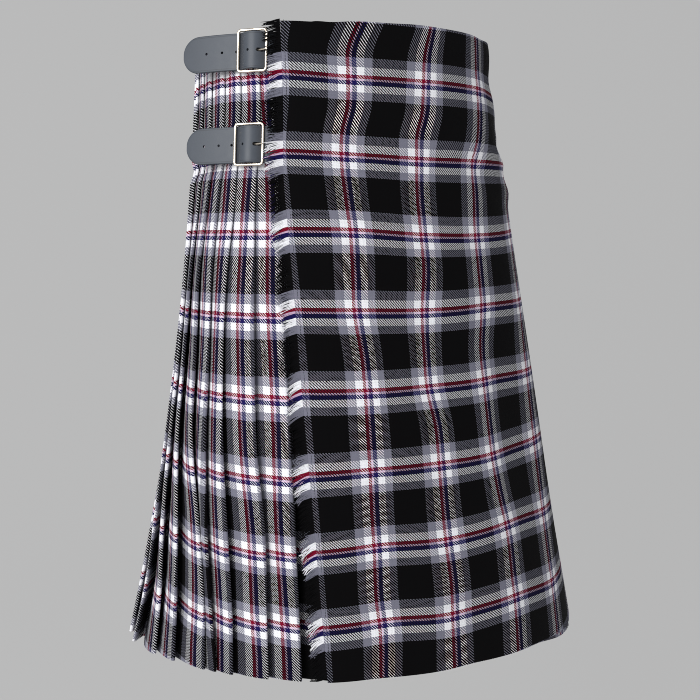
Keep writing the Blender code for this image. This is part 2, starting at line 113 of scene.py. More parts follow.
def table_row(columns, rows, down):
    """A table's row at any height, read on smooth curves through the rows that it has."""
    heights = [row[0] for row in rows]
    return {
        name: float(smooth_curve(down, heights, [row[index] for row in rows]))
        for index, name in enumerate(columns[1:], start=1)
    }


print("half width at the hem", table_row(SHAPE_COLUMNS, SHAPE, DROP)["half_width"], "mm")

# %% The outer surface
RING_POINTS = 1441
RINGS = {}


def ring(down):
    """One oval: points, outward normals and the distance round to each, from the front."""
    key = round(float(down), 1)
    if key not in RINGS:
        row = table_row(SHAPE_COLUMNS, SHAPE, down)
        turn = np.linspace(0, 2 * math.pi, RING_POINTS) - math.pi / 2
        power = 2 / row["squareness"]
        x = row["half_width"] * np.sign(np.cos(turn)) * np.abs(np.cos(turn)) ** power + row["centre_x"]
        y = row["half_depth"] * np.sign(np.sin(turn)) * np.abs(np.sin(turn)) ** power + row["centre_y"]
        distance = np.concatenate([[0.0], np.cumsum(np.hypot(np.diff(x), np.diff(y)))])
        along_x = np.gradient(np.concatenate([x[-2:-1], x, x[1:2]]))[1:-1]
        along_y = np.gradient(np.concatenate([y[-2:-1], y, y[1:2]]))[1:-1]
        length = np.hypot(along_x, along_y)
        RINGS[key] = (x, y, along_y / length, -along_x / length, distance)
    return RINGS[key]


def distance_round(down):
    """The whole way round the garment at one height."""
    return ring(down)[4][-1]


def place(down, around, out):
    """Points in metres, from one height in millimetres and lists of distances round and out."""
    x, y, normal_x, normal_y, distance = ring(down)
    around, out = np.asarray(around, float), np.asarray(out, float)
    where = np.mod(around, distance[-1])
    nx, ny = np.interp(where, distance, normal_x), np.interp(where, distance, normal_y)
    size = np.hypot(nx, ny)
    px = np.interp(where, distance, x) + nx / size * out
    py = np.interp(where, distance, y) + ny / size * out
    return np.stack([px, py, np.full_like(px, -down)], axis=-1) * MM


print("waist", round(distance_round(0)), "mm round, hem", round(distance_round(DROP)), "mm round")

# %% [markdown]
# ## Where the cloth bends
#
# Worn cloth is never quite even. It strains a little between the straps and the far hip, and it sags into
# shallow troughs. A cloth simulation could find such folds, but it would also move the pleats, which were
# pressed and sewn to their places. So the creases are laid in one by one, each a soft ridge or trough with
# its own place, length, width, slant and height.

# %% Soft creases, each with its own size
CREASE_COLUMNS = ("around", "down", "length", "width", "slant", "height")
CREASES = (
    (168, 4, 46, 15, 0, 2.4),
    (180, 37, 56, 12, 3, -3.0),
    (182, 80, 46, 12, -4, -1.6),
    (186, 101, 46, 8, 2, -2.6),
    (186, 118, 46, 8, -2, 2.8),
    (190, 149, 56, 11, 2, 3.6),
    (-248, 131, 60, 8, 0, -3.6),
    (150, 84, 60, 14, 62, -1.3),
    (112, 60, 70, 16, 80, 1.2),
    (108, 138, 34, 11, 34, -1.5),
    (60, 112, 60, 15, 66, 1.1),
    (24, 70, 70, 18, 78, -1.0),
    (-20, 150, 50, 16, 58, 0.9),
    (-52, 92, 44, 13, 70, -0.9),
    (-74, 210, 60, 16, 84, 0.8),
    (14, 250, 80, 20, 86, -1.2),
    (58, 300, 110, 22, 84, 1.5),
    (96, 330, 120, 24, 82, -1.6),
    (140, 250, 90, 22, 80, 1.4),
    (-40, 380, 130, 26, 88, 1.2),
    (8, 430, 120, 24, 86, -1.4),
    (70, 470, 120, 28, 84, 1.8),
    (122, 440, 120, 26, 80, -1.8),
    (176, 400, 140, 30, 82, 2.0),
    (218, 470, 110, 24, 80, -1.6),
    (-84, 500, 110, 24, 90, 1.4),
    (-10, 560, 90, 26, 88, 1.6),
    (40, 570, 80, 26, 86, -1.4),
    (150, 560, 90, 30, 84, 1.8),
    (300, 90, 60, 16, 74, 1.0),
    (360, 150, 70, 18, 80, -1.0),
    (430, 110, 60, 16, 84, 0.9),
    (520, 150, 80, 18, 84, -0.9),
    (600, 100, 60, 16, 78, 1.0),
)


def crease(around, down):
    """How far the creases push the cloth out at some places round, at one height."""
    total = distance_round(down)
    around = np.mod(np.asarray(around, float), total)
    moved = np.zeros_like(around)
    for centre, at, length, width, slant, height in CREASES:
        aside = np.mod(around - centre + total / 2, total) - total / 2
        turn = math.radians(slant)
        lengthwise = aside * math.cos(turn) + (down - at) * math.sin(turn)
        across = -aside * math.sin(turn) + (down - at) * math.cos(turn)
        moved += height * np.exp(-((lengthwise / length) ** 2) - (across / width) ** 2)
    return moved


print(len(CREASES), "creases, each with its", ", ".join(CREASE_COLUMNS))

# %% [markdown]
# ## How the check lies on worn cloth
#
# A painted check would have to be bent by hand, yarn by yarn. Here only the cloth's place in the weave is
# shifted. Short tables say how far each line lies from its even place, and a smooth curve runs between
# them, so the yarns stay in order.

# %% Even places of the check, and how far its lines drift from them
SETT, FIRST_LINE = 73.7, -130.0
LINES = FIRST_LINE + SETT * np.arange(5)
DRIFT_COLUMNS = ("down", "edge", "first", "second", "third", "fourth")
# How far each upright red line lies from its even place, toward the wearer's left.
LINE_DRIFT = (
    (0, 3.5, 18.0, 28.0, 18.0, 5.0),
    (25, 3.0, 8.4, 16.4, 14.0, 5.0),
    (50, 3.0, 6.8, 12.5, 12.0, 2.0),
    (80, 0.0, 3.7, 8.0, 10.0, 0.0),
    (100, -1.8, -2.7, 1.0, 5.0, -3.0),
    (122, -3.5, -5.5, -1.5, -5.5, -8.0),
    (160, -3.7, -4.8, -4.5, -9.0, -11.0),
    (190, -4.2, -3.0, -4.0, -11.0, -12.0),
    (230, -2.8, -4.3, -3.8, -10.0, -11.0),
    (265, -1.6, -6.3, -9.3, -9.5, -11.0),
    (310, -2.5, -2.7, -13.0, -18.0, -10.4),
    (337, -3.6, -2.6, -13.5, -17.8, -10.0),
    (380, -3.6, -3.9, -6.5, -19.0, -9.0),
    (410, -3.6, -4.9, -6.5, -18.0, -8.3),
    (445, -3.4, -7.0, -7.0, -13.5, -7.5),
    (485, -3.3, -8.4, -6.9, -5.5, -6.5),
    (530, -3.0, -11.0, -5.6, -4.0, -5.0),
    (555, -2.8, -10.0, -7.8, -3.0, -3.7),
    (600, -2.8, -14.0, -11.0, -4.5, -3.0),
)
# How far each stripe across lies above its even place, at the same five lines.
ROW_DRIFT = (
    (50, 3.2, 0.3, 1.2, 2.2, 1.0),
    (121, 3.4, 1.0, -0.6, 0.6, 2.8),
    (193, 4.0, 3.3, -0.9, -0.9, 4.3),
    (265, 2.8, 1.0, -0.8, 1.6, 3.5),
    (337, 0.8, -1.0, -0.8, 1.0, 1.5),
    (408, -3.0, -1.6, -2.4, -0.3, 2.2),
    (480, -2.4, 1.4, -2.4, 1.2, -1.5),
    (552, 2.6, 5.5, 0.2, 1.2, -4.4),
)


def drift(table, around, down):
    """A drift table read at one height, for several places round."""
    row = table_row(DRIFT_COLUMNS, table, down)
    return smooth_curve(around, LINES, [row[name] for name in DRIFT_COLUMNS[1:]])


def setts_across(around, down):
    """Repeats of the check counted across the flat front, from its first red line."""
    return (around - FIRST_LINE - drift(LINE_DRIFT, around, down)) / SETT


print("setts across the front", setts_across(np.array([-110.0, 222.0]), 0))

# %% The check counted downward
ROW, FIRST_ROW = 71.7, 49.7
# On the pleats of the right hip the stripes across have their own table: height, then how far above even.
HIP_FROM = -121.0
HIP_DRIFT = (
    (50, -1.0), (121, 0.0), (193, 1.5), (265, -2.8), (337, -6.0),
    (408, -8.0), (480, -5.5), (552, 3.5), (600, 7.0),
)
# Toward the back on that side the cloth hangs lower, between two distances round and from one height down.
SAG_ROUND, SAG_FROM, SAG = (-285.0, -345.0), 380.0, 8.0
# Between these two distances from the front, on either side, the drift fades out.
EVEN_FROM = (330.0, 420.0)


def signed(around, down):
    """Distances round as they lie either way from the front: negative toward the wearer's right."""
    total = distance_round(down)
    around = np.mod(around, total)
    return np.where(around > total / 2, around - total, around)


def setts_down(around, down, lower):
    """Repeats from the first stripe across, for points a little lower than one height. Even at the back."""
    around = signed(around, down)
    near = np.clip((EVEN_FROM[1] - np.abs(around)) / (EVEN_FROM[1] - EVEN_FROM[0]), 0, 1)
    front = drift(ROW_DRIFT, around, down)
    hip = smooth_curve(down, *np.transpose(HIP_DRIFT))
    hip = hip - SAG * max(0.0, down - SAG_FROM) / (DROP - SAG_FROM) * np.clip(
        (around - SAG_ROUND[0]) / (SAG_ROUND[1] - SAG_ROUND[0]), 0, 1
    )
    return (down + lower - FIRST_ROW + np.where(around < HIP_FROM, hip, front) * near) / ROW


print("setts from the first stripe to the hem", setts_down(np.array([0.0]), DROP, 0.0))

# %% [markdown]
# ## The pleats
#
# A knife pleat is a fold pressed to one side. Its face shows, its edge turns sharply, and its underlap runs
# back beneath the face beside it. Copies of one pleat round the back would look like a machine part, since
# worn pleats lie close at the waist and fan unevenly toward the hem. So one table gives the depth,
# roundness and underlap of the folds at each height, and another says how far single folds have slid.

# %% Sizes of the folds, in millimetres
CLOTH = 1.2
PLEATS = 27
FOLD_COLUMNS = (
    "down", "apron_edge", "apron_left", "last_fold", "bunching", "depth", "fold_radius", "underlap", "lift",
)
FOLDS = (
    (0, 107.0, 222.0, 118.0, 0.00, 6.8, 0.80, 14.0, 5.0),
    (75, 110.5, 233.5, 120.0, 0.00, 6.8, 0.80, 14.5, 4.8),
    (150, 116.0, 245.0, 122.0, 0.00, 6.8, 0.80, 15.0, 4.6),
    (185, 116.0, 249.5, 123.5, 0.01, 7.3, 0.85, 16.0, 4.0),
    (250, 116.0, 258.0, 127.0, 0.03, 9.5, 1.00, 17.0, 3.4),
    (340, 117.0, 269.0, 130.0, 0.05, 12.0, 1.20, 18.0, 2.8),
    (450, 117.0, 282.0, 135.0, 0.07, 14.5, 1.40, 19.0, 2.8),
    (600, 118.0, 298.0, 141.0, 0.12, 17.0, 1.60, 20.0, 3.0),
)


def folds_at(down):
    """The sizes of the folds at one height."""
    return table_row(FOLD_COLUMNS, FOLDS, down)


print("the folds are", folds_at(0)["depth"], "mm deep at the rim and", folds_at(DROP)["depth"], "at the hem")

# %% Where the edge of each fold lies
# Down to the fell the pleats are sewn flat. Below it each fold also sways a little to one side.
FELL = 185.0
SWAY, SWAY_STEP = 2.2, 2.4
# How far the folds behind the right hip have slid from even places: the heights, then each fold's shifts.
SHIFT_HEIGHTS = (0, 82, 142, 162, 229, 304, 385, 470, 545, 600)
FOLD_SHIFTS = {
    27: (0, 0, 0, 0, 0, 0, 0, 0, -1, -3),
    26: (6, 6.8, 0, -2, -4, -6, -6.3, 1, 0, -1),
    25: (6, 6.2, 0, -2, -11, -16, -15.5, -8.5, -3.5, -3.3),
    24: (6, 6.8, 3, 0, -8.5, -10.6, -11.5, -5, 4, 10),
    23: (5, 5.5, 7, 4, -8, -7, -4, 17, 31, 36),
    22: (4, 4, 5, 3, -9, -11, -10, 9, 23, 30),
    21: (3, 3, 3, 2, -8, -9.5, -8, 5, 28, 38),
    20: (2, 2, 2, 1, -6, -8, -6, 6, 25, 27),
    19: (1, 1, 1, 0, -5, -6, -5, 5, 25, 30),
    18: (0, 0, 0, 0, -4, -5, -4, 4, 20, 24),
    17: (0, 0, 0, 0, -3, -4, -3, 3, 15, 18),
    16: (0, 0, 0, 0, -2, -3, -2, 2, 10, 12),
    15: (0, 0, 0, 0, -1, -2, -1, 1, 6, 8),
    14: (0, 0, 0, 0, 0, -1, 0, 0, 3, 4),
}


def opened(down):
    """0 down to the fell, where the pleats are sewn flat, and 1 at the hem."""
    return max(0.0, down - FELL) / (DROP - FELL)


def fold_edges(down):
    """The distance round to each fold's edge, from the apron's fold to the last pleat."""
    row = folds_at(down)
    share = np.arange(PLEATS + 1) / PLEATS
    eased = share - row["bunching"] * np.sin(2 * math.pi * share) / (2 * math.pi)
    sway = SWAY * opened(down) * np.sin(np.arange(PLEATS + 1) * SWAY_STEP)
    sway[0] = sway[-1] = 0.0
    for fold, shifts in FOLD_SHIFTS.items():
        sway[fold] += smooth_curve(down, SHIFT_HEIGHTS, shifts)
    return row["apron_left"] + (distance_round(down) - row["apron_left"] - row["last_fold"]) * eased + sway


print("pleats at the hem, in mm:", np.diff(fold_edges(DROP)).round())

# %% [markdown]
# ## The strip of cloth
#
# At each height the cloth is a line seen from above: flat over the front, then in and out of the pleats.
# Moving that line half a cloth's thickness either way gives both faces of the wall. A solidify modifier
# would do the same, but it knows nothing of the weave. Here each station along the line also learns how
# far along the loom it was woven, so the check runs over every fold as real cloth does. In a pleat the
# weave starts afresh, because the length tucked away behind it is hidden.

# %% Turns and lifts of the cloth
# Stations along the apron, along the face of a pleat and round a fold.
APRON_STEPS, FACE_STEPS, ARC_STEPS = 96, 9, 6
LEFT_LENGTH_PLEATS = 13
# Some pleats are deeper than others, and each face bulges a little.
DEPTH_SPREAD, DEPTH_STEP = 0.12, 1.7
FACE_BULGE = 0.045
# The over apron lifts off toward its free edge, and turns in behind its fold on the left hip.
EDGE_LIFT_RUN = 62.0
APRON_FLAT_TO = 6.0
APRON_RETURN, RETURN_STEP = 45.0, 12.0
# The under apron starts this far round from the last fold, and stops this short of the apron's fold.
UNDER_APRON_OUT, UNDER_APRON_RISE, UNDER_APRON_SHORT = -3.4, 25.0, 60.0


def edge_lift(around, row):
    """How far the apron stands off the pleats near its free edge."""
    near = np.clip(1 - (around + row["apron_edge"]) / EDGE_LIFT_RUN, 0, 1)
    return row["lift"] * near * near * (3 - 2 * near)


def arc(centre, radius, outward):
    """Half a turn of the cloth, at a fold."""
    angles = np.radians(np.linspace(90, -90, ARC_STEPS))
    side = 1 if outward else -1
    return [(centre[0] + side * radius * math.cos(a), centre[1] + radius * math.sin(a)) for a in angles]


print("the apron's edge stands", edge_lift(-folds_at(0)["apron_edge"], folds_at(0)), "mm out at the rim")

# %% The middle line of the cloth
def strip(down):
    """The middle line at one height: distances round and out, whose length it is, the seams and folds."""
    row, edges = folds_at(down), fold_edges(down)
    radius, half = row["fold_radius"], CLOTH / 2
    flat = np.linspace(-row["apron_edge"], edges[0] - APRON_FLAT_TO, APRON_STEPS)
    line = [(at, lifted - half) for at, lifted in zip(flat, edge_lift(flat, row))]
    lengths, seams = [0] * len(line), []
    for index, edge in enumerate(edges):
        depth = row["depth"] * (1 + DEPTH_SPREAD * opened(down) * math.sin(index * DEPTH_STEP))
        top, back = -half, -depth + half
        under = APRON_RETURN if index == 0 else row["underlap"]
        line += arc((edge - radius, top - radius), radius, True)
        if index == 0:
            line.append((edge - under + RETURN_STEP, back + 2 * radius))
        lengths += [index] * (len(line) - len(lengths))
        if index in (0, LEFT_LENGTH_PLEATS, PLEATS):
            seams.append(len(line))
        line += arc((edge - under + radius, back + radius), radius, False)
        if index == PLEATS:
            break
        if index == 0:
            line.append((edge - row["underlap"], back))
        start, ahead = edge - row["underlap"] + radius, edges[index + 1] - radius
        for share in np.arange(1, FACE_STEPS + 1) / (FACE_STEPS + 1):
            rise = share - FACE_BULGE * math.sin(2 * math.pi * share)
            line.append((start + (ahead - start) * share, back + (top - back) * rise))
        lengths += [index + 1] * (len(line) - len(lengths))
    start, end = edges[-1] + UNDER_APRON_RISE, distance_round(down) + edges[0] - UNDER_APRON_SHORT
    line += [(at, UNDER_APRON_OUT) for at in np.linspace(start, end, APRON_STEPS // 2)]
    lengths += [PLEATS + 1] * (len(line) - len(lengths))
    line = np.array(line)
    line[:, 1] += crease(line[:, 0], down)
    return line, np.array(lengths), seams, edges


print("stations at each height:", len(strip(300)[0]))

# %% [markdown]
# ## Where each station was woven
#
# Counting repeats along the cloth is easy on the flat front. On the pleats a kilt maker measures from the
# red line, which is laid at the same distance from every edge so that the back shows an even check. The
# script does the same: it puts the red line a set way in from each fold's edge, a little differently for
# the pleats that were sewn less evenly, and counts the yarns on both sides of it from there.

# %% How far along the loom each station was woven
RED_FROM_EDGE = ((0, 9.6), (150, 10.2), (229, 12.4), (378, 13.0), (600, 13.0))
# No two pleats are alike: the heights, then how much further from its fold each pleat's red line lies.
RED_HEIGHTS = (0, 55, 95, 158, 262, 400, 438, 585)
RED_EVEN = (0.0,) * 8
RED_UNEVEN = {
    27: (0.8, 0.8, 0.8, 0.8, 2.2, 4.0, 5.0, 2.8),
    26: (2.4, 1.8, 1.8, 1.6, 4.6, 3.7, 4.0, 0.0),
    25: (-1.2, 2.8, 2.8, 2.8, -0.8, 2.7, 4.3, 3.4),
    24: (0.0, 3.5, 4.0, 6.0, 1.5, 6.0, 7.0, 7.0),
    23: (0.0, 3.5, 4.0, 6.0, 5.0, 0.0, -2.0, 4.0),
    22: (-1.0, -1.0, 0.0, 3.0, 3.0, 0.0, 0.0, 4.0),
    21: (0.0, 3.0, 3.0, 1.0, 0.0, 0.0, 0.0, 0.0),
    20: (1.5, 2.5, 2.5, 1.5, 1.5, 1.5, 1.5, 1.5),
    15: (-1.0,) * 8,
    11: (1.0,) * 8,
    6: (-0.8,) * 8,
}


def woven(line, lengths, edges, down):
    """Setts across for each station, and for the station after it on the same length of cloth."""
    run = np.concatenate([[0.0], np.cumsum(np.hypot(*np.diff(line, axis=0).T))])
    across = np.zeros(len(line))
    flat = np.arange(len(line)) < APRON_STEPS
    across[flat] = setts_across(line[flat, 0], down)
    last = APRON_STEPS - 1
    turned = (lengths == 0) & ~flat
    across[turned] = across[last] + (run[turned] - run[last]) / SETT
    for index in range(1, PLEATS + 1):
        mine = np.flatnonzero(lengths == index)
        face = mine[ARC_STEPS : ARC_STEPS + FACE_STEPS + (index == 1)]
        red = edges[index] - smooth_curve(down, *np.transpose(RED_FROM_EDGE))
        red -= smooth_curve(down, RED_HEIGHTS, RED_UNEVEN.get(index, RED_EVEN))
        middle = np.interp(red, line[face, 0], run[face])
        across[mine] = index + (run[mine] - middle) / SETT
    under = lengths == PLEATS + 1
    across[under] = (run[under] - run[under][0]) / SETT
    following = across + np.append(np.diff(run), 0.0) / SETT
    same = np.append(lengths[1:] == lengths[:-1], False)
    following[same] = across[1:][same[:-1]]
    return across, following


print(len(RED_UNEVEN), "pleats have a red line of their own")

# %% [markdown]
# ## The rim and the hem
#
# The cloth's ends are cut straight, but on a body they rise and dip: the waist is pulled down behind the
# upper strap, and the hem drops where the hips are fullest. Cutting a level mesh to that outline would also
# cut the check. Here the rows near each end are lowered instead, less and less away from it, so the last
# yarn stays the last yarn. Cloth that is tucked inside a pleat hangs a little lower still.

# %% How far the rim and the hem lie below level
# Each row: distance round, then how far the rim and the hem are lowered there.
ENDS = (
    (-720, 0.0, 10.0), (-600, 0.0, 10.0), (-500, 0.0, 14.0), (-430, 0.0, 20.0), (-390, 0.0, 22.0),
    (-360, 0.0, 18.0), (-330, 0.5, 10.5), (-300, 3.0, 4.0), (-240, 8.0, -1.5), (-185, 10.5, -2.5),
    (-140, 14.0, -2.0), (-118, 17.0, -2.0), (-104, 15.0, -2.0), (-80, 2.8, -2.0), (-60, 1.7, -1.0),
    (-40, -0.5, 0.0), (0, -2.4, 1.2), (20, -3.7, 1.8), (60, -4.2, 3.9), (100, -4.3, 6.0), (120, -3.2, 7.0),
    (140, -4.4, 8.5), (160, -4.8, 11.5), (200, -4.5, 17.5), (240, -4.0, 20.0), (300, -2.0, 17.0),
    (420, 0.0, 12.0), (600, 0.0, 10.0), (720, 0.0, 10.0),
)
# Cloth tucked into a pleat hangs lower by this share of how deep it is tucked.
TUCKED_LOWER = 0.26
RIM_FADE, HEM_FADE = 42.0, 160.0
STEP_ASIDE = 10.0


def lowered(around, down, tucked=0.0):
    """How much lower than its row each point lies, near the rim and near the hem."""
    known = np.array(ENDS, float)
    around = signed(around, down)
    rim, hem = (smooth_curve(around, known[:, 0], known[:, index]) for index in (1, 2))
    hem = hem + TUCKED_LOWER * tucked
    return rim * max(0.0, 1 - down / RIM_FADE) + hem * max(0.0, 1 - (DROP - down) / HEM_FADE) ** 2


def place_lowered(down, around, out, lower):
    """Points that lie a little lower than their row, moved along the garment's slope to match."""
    aside = STEP_ASIDE if down < DROP / 2 else -STEP_ASIDE
    here, there = place(down, around, out), place(down + aside, around, out)
    return here + (there - here) * (np.asarray(lower) / aside)[:, None]


print("the hem is", lowered(np.array([0.0, 240.0]), DROP), "mm low at the front and at the left hip")

# %% [markdown]
# ## From lines to cloth
#
# Each length of cloth is a grid of quads on its outer face, another on its inner face, and a narrow band
# joining them round the edge. The weave's place is stored as a UV map, because a UV belongs to a face's
# corner and not to a point: two faces that meet at a seam can each keep their own place in the check.

# %% Faces of a grid, and the band round it
def sideways(path, distance):
    """A line moved a distance to one side, square to itself at every bend."""
    steps = np.diff(path, axis=0)
    steps /= np.linalg.norm(steps, axis=1)[:, None]
    sides = np.stack([-steps[:, 1], steps[:, 0]], axis=1)
    first, last = np.vstack([sides[:1], sides]), np.vstack([sides, sides[-1:]])
    mitre = (first + last) / (1 + (first * last).sum(axis=1))[:, None]
    return path + mitre * distance


def grid_faces(rows, columns, first=0):
    """The quads of a grid of points, row by row."""
    at = np.arange(rows * columns).reshape(rows, columns) + first
    return np.stack([at[:-1, :-1], at[:-1, 1:], at[1:, 1:], at[1:, :-1]], axis=-1).reshape(-1, 4)


def shell_faces(rows, columns):
    """The quads of two like grids and of the band that joins them, and the points round the band."""
    shift = rows * columns
    at = np.arange(shift).reshape(rows, columns)
    rim = np.concatenate([at[0, :-1], at[:-1, -1], at[-1, :0:-1], at[:0:-1, 0]])
    after = np.roll(rim, -1)
    band = np.stack([rim, rim + shift, after + shift, after], axis=-1)
    return np.vstack([grid_faces(rows, columns), grid_faces(rows, columns, shift)[:, ::-1], band]), rim, after


print("a grid of 3 x 3 points has", len(grid_faces(3, 3)), "faces")

# %% A piece from points and faces
SHARP_FROM = 50


def plain_piece(name, points, faces):
    """A bare mesh object in the scene, still without a material."""
    mesh = bpy.data.meshes.new(name)
    mesh.from_pydata([tuple(p) for p in points], [], [tuple(int(i) for i in f) for f in faces])
    made = bpy.data.objects.new(name, mesh)
    bpy.context.scene.collection.objects.link(made)
    return made


def mesh_piece(name, points, faces, material, uv=None):
    """A piece of the kilt: a mesh with its material, smooth but for its sharp edges."""
    made = plain_piece(name, points, faces)
    if uv is not None:
        layer = made.data.uv_layers.new(name="weave")
        layer.data.foreach_set("uv", np.asarray(uv, np.float32).ravel())
    made.data.materials.append(material)
    made.data.shade_smooth()
    made.data.set_sharp_from_angle(angle=math.radians(SHARP_FROM))
    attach(made, "root")
    return made


print("edges that turn by more than", SHARP_FROM, "degrees stay sharp")

# %% Build a wall with a woven UV map
def wall(name, outer, inner, left, right, down, material):
    """A wall between two grids. left and right are the setts across at each cell's two sides."""
    rows, columns = outer.shape[:2]
    faces, rim, after = shell_faces(rows, columns)
    u = np.stack([left[:-1, :-1], right[:-1, :-1], right[1:, :-1], left[1:, :-1]], axis=-1).reshape(-1, 4)
    v = np.stack([down[:-1, :-1], down[:-1, 1:], down[1:, 1:], down[1:, :-1]], axis=-1).reshape(-1, 4)
    cells = np.stack([u, v], axis=-1)
    ends = np.stack([values.ravel()[[rim, rim, after, after]] for values in (left, down)], axis=-1)
    uv = np.vstack([cells, cells[:, ::-1], ends.transpose(1, 0, 2)])
    return mesh_piece(name, np.vstack([outer.reshape(-1, 3), inner.reshape(-1, 3)]), faces, material, uv)


print("wall helper ready")

# %% [markdown]
# ## The woven check
#
# A picture of it would blur close up, so the shader works the cloth out as a loom does. It counts yarns,
# finds each yarn's colour in the thread count, and picks the yarn that lies on top. This step makes small
# helpers for placing nodes, then the thread count as a group of its own, because the fringe's loose yarns
# use it too.

# %% Helpers for node groups
FLOAT, COLOUR, VECTOR = "NodeSocketFloat", "NodeSocketColor", "NodeSocketVector"


def new_group(name, inputs, outputs):
    """A node group with named sockets, and its input and output nodes."""
    group = bpy.data.node_groups.new(name, "ShaderNodeTree")
    for sockets, way in ((inputs, "INPUT"), (outputs, "OUTPUT")):
        for label, kind in sockets.items():
            group.interface.new_socket(label, in_out=way, socket_type=kind)
    return group, group.nodes.new("NodeGroupInput").outputs, group.nodes.new("NodeGroupOutput").inputs


def feed(tree, socket, value):
    """Links another node's output into a socket, or sets the socket to a plain value."""
    if isinstance(value, bpy.types.NodeSocket):
        tree.links.new(value, socket)
    else:
        socket.default_value = value


def use_group(tree, group, **values):
    """Places a group among a material's nodes, and gives its outputs."""
    node = tree.nodes.new("ShaderNodeGroup")
    node.node_tree = group
    for name, value in values.items():
        feed(tree, node.inputs[name], value)
    return node.outputs


print("group helpers ready")

# %% Helpers for single nodes
def maths(tree, operation, *values):
    """One sum, with values or other nodes' outputs."""
    node = tree.nodes.new("ShaderNodeMath")
    node.operation = operation
    for socket, value in zip(node.inputs, values):
        feed(tree, socket, value)
    return node.outputs[0]


def blend(tree, share, first, second, how="MIX"):
    """From the first colour to the second, as the share goes from 0 to 1."""
    node = tree.nodes.new("ShaderNodeMix")
    node.data_type = "RGBA"
    node.blend_type = how
    for name, value in (("Factor_Float", share), ("A_Color", first), ("B_Color", second)):
        feed(tree, next(s for s in node.inputs if s.identifier == name), value)
    return next(s for s in node.outputs if s.identifier == "Result_Color")


def noise(tree, vector, scale, detail=2.0):
    """Soft noise between 0 and 1. The higher the scale, the finer it is."""
    node = tree.nodes.new("ShaderNodeTexNoise")
    feed(tree, node.inputs["Vector"], vector)
    node.inputs["Scale"].default_value = scale
    node.inputs["Detail"].default_value = detail
    return node.outputs["Fac"]


def spread(tree, value, low=0.0, high=1.0, start=0.0, end=1.0, ease="LINEAR"):
    """Carries a value that runs from start to end onto the range from low to high."""
    node = tree.nodes.new("ShaderNodeMapRange")
    node.interpolation_type = ease
    names = ("Value", "From Min", "From Max", "To Min", "To Max")
    for name, number in zip(names, (value, start, end, low, high)):
        feed(tree, node.inputs[name], number)
    return node.outputs["Result"]


print("node helpers ready")

# %% The thread count
BLACK, GREY, WHITE = (0.0024, 0.0022, 0.0026, 1), (0.190, 0.190, 0.240, 1), (0.88, 0.88, 0.91, 1)
RED, PALE, NAVY = (0.200, 0.004, 0.022, 1), (0.62, 0.44, 0.60, 1), (0.012, 0.009, 0.082, 1)
# Each colour, and how many yarns of it lie side by side.
THREAD_COUNT = ((GREY, 12), (WHITE, 11), (RED, 5), (PALE, 3), (NAVY, 6), (WHITE, 10), (GREY, 11), (BLACK, 50))
counts = [count for _, count in THREAD_COUNT]
YARNS = sum(counts)
RED_AT = THREAD_COUNT.index((RED, 5))
RED_CENTRE = (sum(counts[:RED_AT]) + counts[RED_AT] / 2) / YARNS

stripes, stripes_in, stripes_out = new_group("stripe_colour", {"Setts": FLOAT}, {"Colour": COLOUR})
ramp = stripes.nodes.new("ShaderNodeValToRGB")
ramp.color_ramp.interpolation = "CONSTANT"
stops = ramp.color_ramp.elements
for index, (colour, _) in enumerate(THREAD_COUNT):
    start = sum(counts[:index]) / YARNS
    stop = stops[index] if index < 2 else stops.new(start)
    stop.position, stop.color = start, colour
from_grey = maths(stripes, "ADD", stripes_in["Setts"], RED_CENTRE)
feed(stripes, ramp.inputs["Fac"], maths(stripes, "FLOORED_MODULO", from_grey, 1.0))
feed(stripes, stripes_out["Colour"], ramp.outputs["Color"])
print(YARNS, "yarns in a sett of", SETT, "mm:", round(SETT / YARNS, 2), "mm a yarn")

# %% [markdown]
# ## The twill
#
# In twill each yarn passes over two and under two, one step further along in each row, which draws fine
# slanting lines. Here the upright yarns are spun thinner than the yarns across. Where they come up, they
# make one narrow slanting line of their own colour. Beside it the darker of the two colours that cross there
# shows. Between two yarns that darker colour is painted as shade, and each yarn is painted a little lighter
# along its middle. Modelled yarns would need millions of faces, so a node group asks the same questions at
# every spot: which yarns cross here, and which one is on top?

# %% Which yarn is on top
# The pattern steps on by one yarn in each row and repeats after four. In the first two of its four steps,
# 0 and 1, the upright yarn is on top.
TWILL_REPEAT, OVER_TWO = 4.0, 1.5
# The slanting line's middle among these steps, and its width, in yarns.
SLANT_MIDDLE, SLANT_WIDTH = 0.5, 0.95
twill, twill_in, twill_out = new_group(
    "twill", {"Across": FLOAT, "Down": FLOAT, "Unevenness": FLOAT}, {"Colour": COLOUR, "Height": FLOAT}
)
work = partial(maths, twill)
across, downward = (work("MULTIPLY", twill_in[name], float(YARNS)) for name in ("Across", "Down"))
yarn_across, yarn_down = work("FLOOR", across), work("FLOOR", downward)
step = work("FLOORED_MODULO", work("SUBTRACT", yarn_across, yarn_down), TWILL_REPEAT)
upright_on_top = work("LESS_THAN", step, OVER_TWO)
slant = work("ADD", work("SUBTRACT", across, downward), TWILL_REPEAT / 2 - SLANT_MIDDLE)
off_slant = work("SUBTRACT", work("FLOORED_MODULO", slant, TWILL_REPEAT), TWILL_REPEAT / 2)
in_slant = work("LESS_THAN", work("ABSOLUTE", off_slant), SLANT_WIDTH / 2)


def yarn_profile(value, index):
    """1 along the middle of a yarn and 0 between two yarns: 1 less 4 times the square of the way out."""
    from_middle = work("SUBTRACT", work("SUBTRACT", value, index), 0.5)
    return work("SUBTRACT", 1.0, work("MULTIPLY", work("POWER", work("ABSOLUTE", from_middle), 2.0), 4.0))


height = blend(twill, upright_on_top, yarn_profile(downward, yarn_down), yarn_profile(across, yarn_across))
print("the slanting line is", SLANT_WIDTH, "of a yarn wide")

